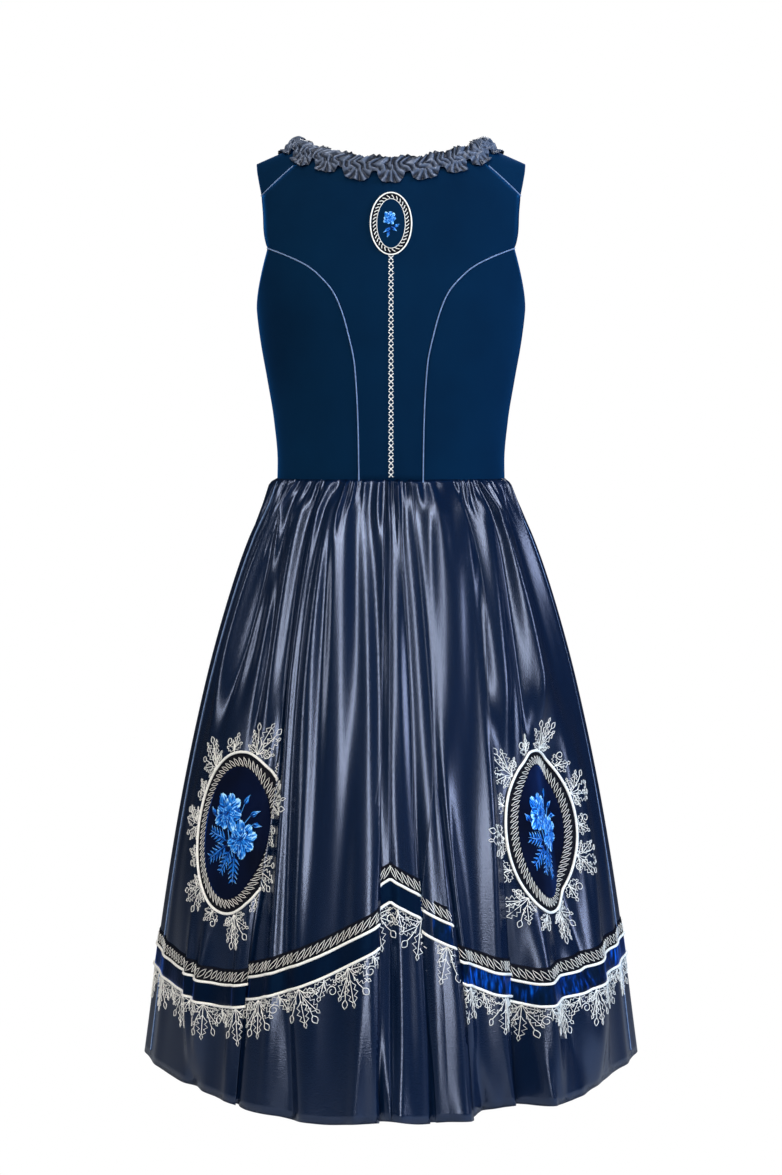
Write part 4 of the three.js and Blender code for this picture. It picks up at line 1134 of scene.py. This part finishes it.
CORD_RADIUS = 1.55
CORD_OUT = 1.6
skirt_strip("band_velvet", 1.5, BAND_WIDTH - 1.5, 7, 1.1, ribbon, ["velvet_band"])
skirt_strip("band_rope_ground", BAND_WIDTH - 0.5, BAND_WIDTH + 17, 5, 0.8, shade)
cord_step = np.arange(column_run[0], column_run[-1], 3.0)
cord_column = np.union1d(np.interp(cord_step, column_run, column_index), column_index[::2])
cord_cloth = np.interp(cord_column, column_index, column_run)
for name, height in (("band_cord_low", 0.5), ("band_cord_high", BAND_WIDTH - 0.5)):
    drop = 1 - (band_foot(cord_cloth) + height) / SKIRT_DROP
    line = cloth_at(cord_column, drop, CORD_OUT)
    line[-1] = line[0]
    add_threads(name, [line], CORD_RADIUS, ivory, 2)


def turned(points, angle, shift=(0, 0)):
    """Flat points turned clockwise from straight up, and moved."""
    c, s = math.cos(angle), math.sin(angle)
    x, y = points[:, 0], points[:, 1]
    return np.stack([x * c + y * s + shift[0], -x * s + y * c + shift[1]], -1)


def lens(half_width, length, points=5):
    """A pointed oval that stands on the origin."""
    y = np.linspace(0, 1, points)
    x = half_width * np.sin(math.pi * y)
    side = np.stack([x, y * length], -1)
    other = np.stack([-x, y * length], -1)[::-1][1:]
    return np.concatenate([side, other])


# The rope border is a row of slanted pointed loops, which lean away from the centre back.
TWIST_PITCH = 7.4
TWIST_LENGTH = 14
TWIST_LEAN = math.radians(40)
TWIST_OVER_BAND = 3.2
ROPE_RADIUS = 0.34
ROPE_OUT = 1.5
twist = turned(lens(2.0, TWIST_LENGTH), -TWIST_LEAN, (4.4, 0))
rope_lines = []
for k in range(int(column_run[0] / TWIST_PITCH), int(column_run[-1] / TWIST_PITCH)):
    hand = 1 if k >= 0 else -1
    cloth = (k + 0.5) * TWIST_PITCH + hand * twist[:, 0]
    height = band_foot(cloth) + BAND_WIDTH + TWIST_OVER_BAND + twist[:, 1]
    rope_lines.append(over_skirt(cloth, height, ROPE_OUT))
add_threads("band_rope", rope_lines, ROPE_RADIUS, ivory)

# ------------------------------------------------------------------ leaf sprigs under the band
# A row of sprigs in ivory outline stitch hangs from the lower cord: a fan of serrated leaves with two
# buds and a curl, then a smaller one of three leaves and a curl, by turns.


def leaf(length, half_width, teeth=4):
    """The outline of a leaf that stands on the origin, with its teeth towards the tip."""
    side = [(0.0, 0.0)]
    for k in range(teeth):
        at = (k + 0.6) / (teeth + 0.5)
        wide = half_width * math.sin(math.pi * (at + 0.1) ** 0.8)
        side += [(wide * 0.42, at * length), (wide, (at + 0.45 / (teeth + 0.5)) * length)]
    tip = [(0.0, length)]
    other = [(-x, y) for x, y in side[::-1]]
    return np.array(side + tip + other)


def curl(length, radius, hand=1):
    """A stem that rises from the origin and rolls up at its end."""
    turn = np.linspace(-math.pi / 2, 2.0 * math.pi, 13) + math.pi
    size = radius * np.linspace(1, 0.35, 13)
    rolled = np.stack([hand * (radius - size * np.sin(turn)), length + size * np.cos(turn)], -1)
    stem = np.array([(0.0, 0.0), (-0.1 * radius * hand, 0.5 * length)])
    return np.concatenate([stem, rolled])


FAN_LEAVES = table(
    "turn from long wide",
    (-88, 4, 15, 5),
    (-52, 8, 22, 6.2),
    (3, 12, 28, 6.8),
    (37, 9, 25, 6.6),
    (74, 5, 17, 5.2),
)
fan_sprig = []
for blade in FAN_LEAVES:
    angle = math.radians(blade["turn"])
    root = (blade["from"] * math.sin(angle * 0.55), blade["from"] * math.cos(angle * 0.55))
    fan_sprig.append(turned(leaf(blade["long"], blade["wide"]), angle, root))
    rib = turned(np.array([(0, 0), (0, blade["long"] * 0.8)]), angle, root)
    fan_sprig.append(np.concatenate([[(0, 0)], rib]))
for turn, stem in ((-26, 27), (20, 31)):
    angle = math.radians(turn)
    fan_sprig.append(turned(lens(3.2, 9), angle, (stem * math.sin(angle), stem * math.cos(angle))))
    fan_sprig.append(turned(np.array([(0, 12), (0.8, 20), (0, stem)]), angle))
fan_sprig.append(turned(curl(13, 4.2, 1), math.radians(50)))
small_sprig = [
    curl(14, 5.6, -1),
    turned(leaf(18, 5.0, 3), math.radians(30), (1.5, 4)),
    turned(leaf(14, 4.4, 3), math.radians(72), (0.5, 3)),
    turned(leaf(13, 4.2, 3), math.radians(-58), (-0.5, 2)),
    np.array([(0, 0), (4, 9), (8, 16)]),
]
SPRIG_PITCH = 27.5
THREAD_RADIUS = 0.43
THREAD_OUT = 0.5
sprig_lines = []
sprig_count = int(column_run[-1] // SPRIG_PITCH)
for k in range(-sprig_count, sprig_count + 1):
    lines = fan_sprig if k % 2 else small_sprig
    hand = 1 if k % 4 < 2 else -1
    middle = (k + 0.35) * SPRIG_PITCH
    slope = (band_foot(middle + 1) - band_foot(middle - 1)) / 2
    for line in lines:
        x, y = hand * line[:, 0], line[:, 1] + 1
        cloth = middle + x + y * slope * 0.5
        height = band_foot(middle) + slope * x * 0.8 - y
        if np.abs(cloth).max() < column_run[-1] - 2:
            sprig_lines.append(over_skirt(cloth, height, THREAD_OUT))
add_threads("band_sprigs", sprig_lines, THREAD_RADIUS, ivory)

# ------------------------------------------------------------------ skirt ovals
# Two velvet ovals are sewn on the back of the skirt. Each has an ivory cord on its edge, a rope border
# inside it, a ring of sprigs outside it and a spray of blue satin-stitch flowers on its ground.
OVAL_HALF_WIDTH = 66
OVAL_HALF_HEIGHT = 92
OVAL_Z = -784
OVAL_THREAD = {1: 44.1, -1: -45.3}
OVAL_BORDER = 17.5
OVAL_TWIST_PITCH = 5.9
OVAL_SPRIG_PITCH = 36
# The drop for one millimetre along the sloping cloth.
SKIRT_SLOPE = 0.97
oval_twist = turned(lens(1.5, 13), -TWIST_LEAN, (4.4, 0))
oval_drop = (WAIST_Z - OVAL_Z) / SKIRT_DROP
oval_row = int(round(float(np.interp(oval_drop, row_drop, np.arange(SKIRT_ROWS)))))
oval_run = cloth_run[oval_row]
oval_girth = float(lerp(SKIRT_WAIST["half_width"], SKIRT_HEM["half_width"], flare_at(oval_drop)))


def over_oval(hand, across_mm, up_mm, out):
    """A point over an oval, by millimetres of cloth from its middle."""
    drop = oval_drop - up_mm * SKIRT_SLOPE / SKIRT_DROP
    girth = lerp(SKIRT_WAIST["half_width"], SKIRT_HEM["half_width"], flare_at(drop))
    middle = np.interp(column_of(OVAL_THREAD[hand]), column_index, oval_run)
    column = np.interp(middle + across_mm * oval_girth / girth, oval_run, column_index)
    return cloth_at(column, drop, out)


def oval_disc(name, place, half_width, half_height, out, material, rests_on, nodes=(), cells=48):
    """A cloth oval: a square grid rounded out, for a given way of placing its points."""
    side = np.linspace(-1, 1, cells)
    x, y = np.meshgrid(side, side)
    across_mm = x * np.sqrt(1 - y * y / 2) * half_width
    up_mm = y * np.sqrt(1 - x * x / 2) * half_height
    mesh = cloth_grid(name, cells, cells, place(across_mm, up_mm, out))
    piece = add_piece(name, mesh, material, nodes)
    give_thickness(piece, LAID_ON_THICK)


def oval_line(half_width, half_height, turn):
    """Flat points on the edge of an oval."""
    return np.stack([half_width * np.sin(turn), half_height * np.cos(turn)], -1)


def on_line(place, line, out):
    """A flat line laid on the cloth."""
    return place(line[:, 0], line[:, 1], out)


def around_oval(half_width, half_height, pitch, motifs):
    """Motifs of flat lines by turns round an oval, evenly spaced, standing square to its edge."""
    turn = np.linspace(0, 2 * math.pi, 721)
    edge = oval_line(half_width, half_height, turn)
    run = np.concatenate([[0], np.cumsum(np.linalg.norm(np.diff(edge, axis=0), axis=1))])
    count = round(run[-1] / pitch)
    placed = []
    for k in range(count):
        at = float(np.interp((k + 0.5) * run[-1] / count, run, turn))
        root = oval_line(half_width, half_height, at)
        facing = math.atan2(half_height * math.sin(at), half_width * math.cos(at))
        placed += [turned(line, facing, root) for line in motifs[k % len(motifs)]]
    return placed


def petal_grid(bm, place, uv_layer, number, line, half_width, out, tip, cells=(9, 8)):
    """One satin-stitch petal: a grid laid along a flat line and domed over the ground. Its far end is
    broad and toothed for a tip of 1 and pointed for 0."""
    dome = min(1.4, half_width * 0.4)
    grid = bmesh.ops.create_grid(bm, x_segments=cells[0], y_segments=cells[1], size=1)
    flat = np.array([v.co[:2] for v in grid["verts"]])
    across_share, along_share = flat[:, 0], (flat[:, 1] + 1) / 2
    ahead = line[-1] - line[0]
    length = np.linalg.norm(ahead)
    ahead = ahead / length
    tooth = 0.5 + 0.5 * np.cos(across_share * 4 * math.pi)
    far = length * (1 - 0.3 * across_share**2 + 0.13 * tooth)
    along_mm = along_share * lerp(length * 0.8, far, along_share)
    broad = 0.2 + 0.85 * np.sin(math.pi * np.clip(0.08 + along_share * 0.66, 0, 1))
    pointed = 0.12 + 0.95 * np.sin(math.pi * np.clip(0.1 + along_share * 0.9, 0, 1))
    swell = half_width * lerp(pointed, broad, tip)
    x = line[0, 0] + ahead[0] * along_mm + ahead[1] * across_share * swell
    y = line[0, 1] + ahead[1] * along_mm - ahead[0] * across_share * swell
    ruffle = 0.35 * dome * np.cos(across_share * 4 * math.pi) * along_share
    lift = out + dome * (1 - across_share**2) * np.sin(math.pi * (0.12 + 0.8 * along_share)) + ruffle
    placed = place(x, y, lift) * MM
    for vertex, spot in zip(grid["verts"], placed):
        vertex.co = spot
    for vertex, a, b in zip(grid["verts"], across_share, along_share):
        for loop in vertex.link_loops:
            loop[uv_layer].uv = (number + 0.5 + a * 0.48, b)


def line_from(root, angle, length):
    """A straight flat line, its angle in degrees clockwise from straight up."""
    angle = math.radians(angle)
    return np.array([root, (root[0] + length * math.sin(angle), root[1] + length * math.cos(angle))])


def blossom(middle, size, lean):
    """The petals of one open flower: (line, half width, height over the ground, breadth of tip)."""
    petals = []
    rings = ((8, 0.3, 1.0, 0.36), (6, 0.14, 0.74, 0.33), (5, 0.0, 0.44, 0.24))
    for ring, (count, inner, outer, wide) in enumerate(rings):
        for k in range(count):
            turn = lean + 360 * (k + 0.5 * ring + 0.18 * math.sin(5 * k + ring)) / count
            reach = size * outer * (1 + 0.16 * math.sin(3 * k + ring))
            start = line_from(middle, turn, inner * size)[1]
            petals.append((line_from(start, turn, reach - inner * size), wide * size, 1.0 + 0.8 * ring, 1))
    return petals


def feather_leaf(root, angle, length):
    """A leaf cut into narrow lobes, along both sides of its rib."""
    lobes = [(line_from(root, angle, length), 1.5, 0.9, 0)]
    for k in range(5):
        at = (k + 0.8) / 5.6
        spot = root + (line_from(root, angle, length)[1] - root) * at
        for hand in (-1, 1):
            lobes.append((line_from(spot, angle + hand * 48, length * (0.42 - 0.2 * at)), 1.5, 0.8, 0))
    return lobes


SPRAY = blossom((-10, 22), 21, 8) + blossom((17, -6), 19.5, 30)
SPRAY_LEAVES = (((-6, -10), 285, 31), ((-4, -14), 236, 35), ((2, -18), 205, 31), ((8, -22), 174, 33))
SPRAY_BUDS = (((13, 34), 30, 12), ((24, 22), 62, 13), ((-31, 16), 320, 11), ((30, 13), 100, 9))
for root, angle, length in SPRAY_LEAVES:
    SPRAY += feather_leaf(np.array(root, float), angle, length)
for root, angle, length in SPRAY_BUDS:
    SPRAY.append((line_from(root, angle, length), 3.4, 1.0, 0))
SPRAY_STEMS = [
    np.array([(-8, 6), (-3, -8), (6, -26)]),
    np.array([(4, 14), (10, 24), (13, 34)]),
    np.array([(10, 6), (18, 14), (24, 22)]),
    np.array([(14, 2), (24, 8), (30, 13)]),
    np.array([(-18, 8), (-26, 10), (-31, 16)]),
]

petal_blue, petal_tree, petal_shader = new_material(
    "blue_satin_stitch",
    {"Roughness": 0.4, "Specular IOR Level": 0.3, "Specular Tint": (0.3, 0.6, 1, 1)},
)
# Each petal is lighter to its far end, darker along its two sides, and streaked by its stitches.
petal_streak = sum_of(petal_tree, "MULTIPLY_ADD", noise(petal_tree, 1, 2, "UV", (7, 1.6, 1)), 1.7, -0.47)
petal_across = sum_of(petal_tree, "FRACT", coordinate(petal_tree, "UV", "X"))
petal_inside = sum_of(petal_tree, "PINGPONG", petal_across, 0.5)
petal_side = {"From Min": 0.13, "From Max": 0.0, "To Max": -0.5, "Value": petal_inside}
petal_dark = add_node(petal_tree, "MapRange", petal_side).outputs["Result"]
petal_both = sum_of(petal_tree, "ADD", petal_streak, petal_dark)
petal_along = coordinate(petal_tree, "UV", "Y")
petal_stops = [
    (0.3, 0.0004, 0.004, 0.03),
    (0.45, 0.001, 0.02, 0.17),
    (0.60, 0.003, 0.10, 0.48),
    (0.76, 0.02, 0.29, 0.82),
    (0.92, 0.45, 0.77, 1.0),
]
petal_light = sum_of(petal_tree, "MULTIPLY_ADD", petal_along, 0.42, petal_both)
ramp(petal_tree, petal_shader, petal_light, petal_stops)


def spray_mesh(name, place, petals, out):
    """One mesh of satin-stitch petals on a ground."""
    bm = bmesh.new()
    uv_layer = bm.loops.layers.uv.new("petal")
    for number, (line, half_width, height, tip) in enumerate(petals):
        petal_grid(bm, place, uv_layer, number, line, half_width, out + height * 0.6, tip)
    bm.normal_update()
    turned_in = []
    for face in bm.faces:
        middle = face.calc_center_median()
        if face.normal.dot(middle - Vector((0, 0, middle.z))) < 0:
            turned_in.append(face)
    bmesh.ops.reverse_faces(bm, faces=turned_in)
    mesh = bpy.data.meshes.new(name)
    bm.to_mesh(mesh)
    bm.free()
    mesh.shade_smooth()
    return mesh


stem_blue = new_material("light_blue_thread", {"Base Color": (0.06, 0.3, 0.75, 1), "Roughness": 0.45})[0]

STEM_RADIUS = 0.5
turn_all = np.linspace(0, 2 * math.pi, 145)
for hand_name, hand in (("right", 1), ("left", -1)):
    name = "oval_" + hand_name

    def place(x, y, out, hand=hand):
        return over_oval(hand, x, y, out)

    below = f"skirt_back_{hand_name}_cloth"
    oval_disc(name + "_ground", place, OVAL_HALF_WIDTH, OVAL_HALF_HEIGHT, 1.0, shade, below, [name])
    inner = (OVAL_HALF_WIDTH - OVAL_BORDER, OVAL_HALF_HEIGHT - OVAL_BORDER)
    oval_disc(name + "_velvet", place, *inner, 1.7, ground, name + "_ground")
    cord_line = on_line(place, oval_line(OVAL_HALF_WIDTH - 1, OVAL_HALF_HEIGHT - 1, turn_all), 1.7)
    add_threads(name + "_cord", [cord_line], CORD_RADIUS, ivory, 2)
    ring = around_oval(inner[0] + 0.5, inner[1] + 0.5, OVAL_TWIST_PITCH, [[oval_twist]])
    lines = [on_line(place, line, 1.7) for line in ring]
    add_threads(name + "_rope", lines, ROPE_RADIUS, ivory)
    sprigs = [fan_sprig, small_sprig]
    ring = around_oval(OVAL_HALF_WIDTH + 1, OVAL_HALF_HEIGHT + 1, OVAL_SPRIG_PITCH, sprigs)
    lines = [on_line(place, line, THREAD_OUT) for line in ring]
    add_threads(name + "_sprigs", lines, THREAD_RADIUS, ivory)
    add_piece(name + "_flowers", spray_mesh(name + "_flowers", place, SPRAY, 1.7), petal_blue)
    lines = [on_line(place, line, 2.2) for line in SPRAY_STEMS]
    add_threads(name + "_stems", lines, STEM_RADIUS, stem_blue)

# ------------------------------------------------------------------ bodice oval and centre stitch
# One small velvet oval is sewn below the back neck, with a cord, a rope ring and one blue flower. A
# line of ivory feather stitch runs from it down the centre back to the waist.
SMALL_OVAL_HALF_WIDTH = 24.5
SMALL_OVAL_HALF_HEIGHT = 36.5
SMALL_OVAL_Z = -97.5
SMALL_BORDER = 8.5
SMALL_CORD_RADIUS = 0.8
SMALL_ROPE_RADIUS = 0.5
SMALL_TWIST_PITCH = 3.9
INNER_RING_RADIUS = 0.36


def over_back_panel(x, up_mm, out):
    """A point over the back panel, by millimetres from the small oval's middle."""
    z = SMALL_OVAL_Z + up_mm
    over = over_back(x, z)
    return on_bodice(side_at(x, over), over, out)


small_inner = (SMALL_OVAL_HALF_WIDTH - SMALL_BORDER, SMALL_OVAL_HALF_HEIGHT - SMALL_BORDER)
small_size = (SMALL_OVAL_HALF_WIDTH, SMALL_OVAL_HALF_HEIGHT)
small_nodes = ["oval_bodice"]
oval_disc("oval_bodice_ground", over_back_panel, *small_size, 1.0, shade, "bodice_back_cloth", small_nodes)
oval_disc("oval_bodice_velvet", over_back_panel, *small_inner, 1.6, velvet, "oval_bodice_ground")
small_cord = oval_line(SMALL_OVAL_HALF_WIDTH - 1.1, SMALL_OVAL_HALF_HEIGHT - 1.1, turn_all)
add_threads("oval_bodice_cord", [on_line(over_back_panel, small_cord, 1.5)], SMALL_CORD_RADIUS, ivory, 2)
small_twist = turned(np.array([(0, 0.9), (0.5, 2.8), (0, 5.6)]), -TWIST_LEAN, (1.6, 0))
small_ring = around_oval(small_inner[0] + 0.2, small_inner[1] + 0.2, SMALL_TWIST_PITCH, [[small_twist]])
small_lines = [on_line(over_back_panel, line, 1.5) for line in small_ring]
add_threads("oval_bodice_rope", small_lines, SMALL_ROPE_RADIUS, ivory)
inner_ring = oval_line(small_inner[0] + 0.2, small_inner[1] + 0.2, turn_all)
inner_ring_line = on_line(over_back_panel, inner_ring, 1.7)
add_threads("oval_bodice_inner_ring", [inner_ring_line], INNER_RING_RADIUS, ivory, 1)
small_spray = blossom((-1.5, 6), 7.2, 10)
for root, angle, length in (((0, -4), 125, 8), ((-1, -5), 235, 9), ((-2, -9), 200, 7), ((4, -4), 60, 6)):
    small_spray.append((line_from(np.array(root, float), angle, length), 2.0, 0.8, 0))
small_flower = spray_mesh("oval_bodice_flower", over_back_panel, small_spray, 1.5)
add_piece("oval_bodice_flower", small_flower, petal_blue)

STITCH_REPEAT = 6.7
STITCH_RADIUS = 0.62
stitch_top = -SMALL_OVAL_HALF_HEIGHT
stitch_bottom = WAIST_Z - SMALL_OVAL_Z
stitches = []
for k in range(int((stitch_top - stitch_bottom) / STITCH_REPEAT)):
    top = stitch_top - k * STITCH_REPEAT
    stitches.append(np.array([(-2.9, top), (0, top - 2.6), (2.9, top)]))
    stitches.append(np.array([(-2.4, top - 5.4), (0, top - 2.6), (2.4, top - 5.4)]))
stitch_lines = [on_line(over_back_panel, line, THREAD_OUT) for line in stitches]
add_threads("centre_feather_stitch", stitch_lines, STITCH_RADIUS, ivory)
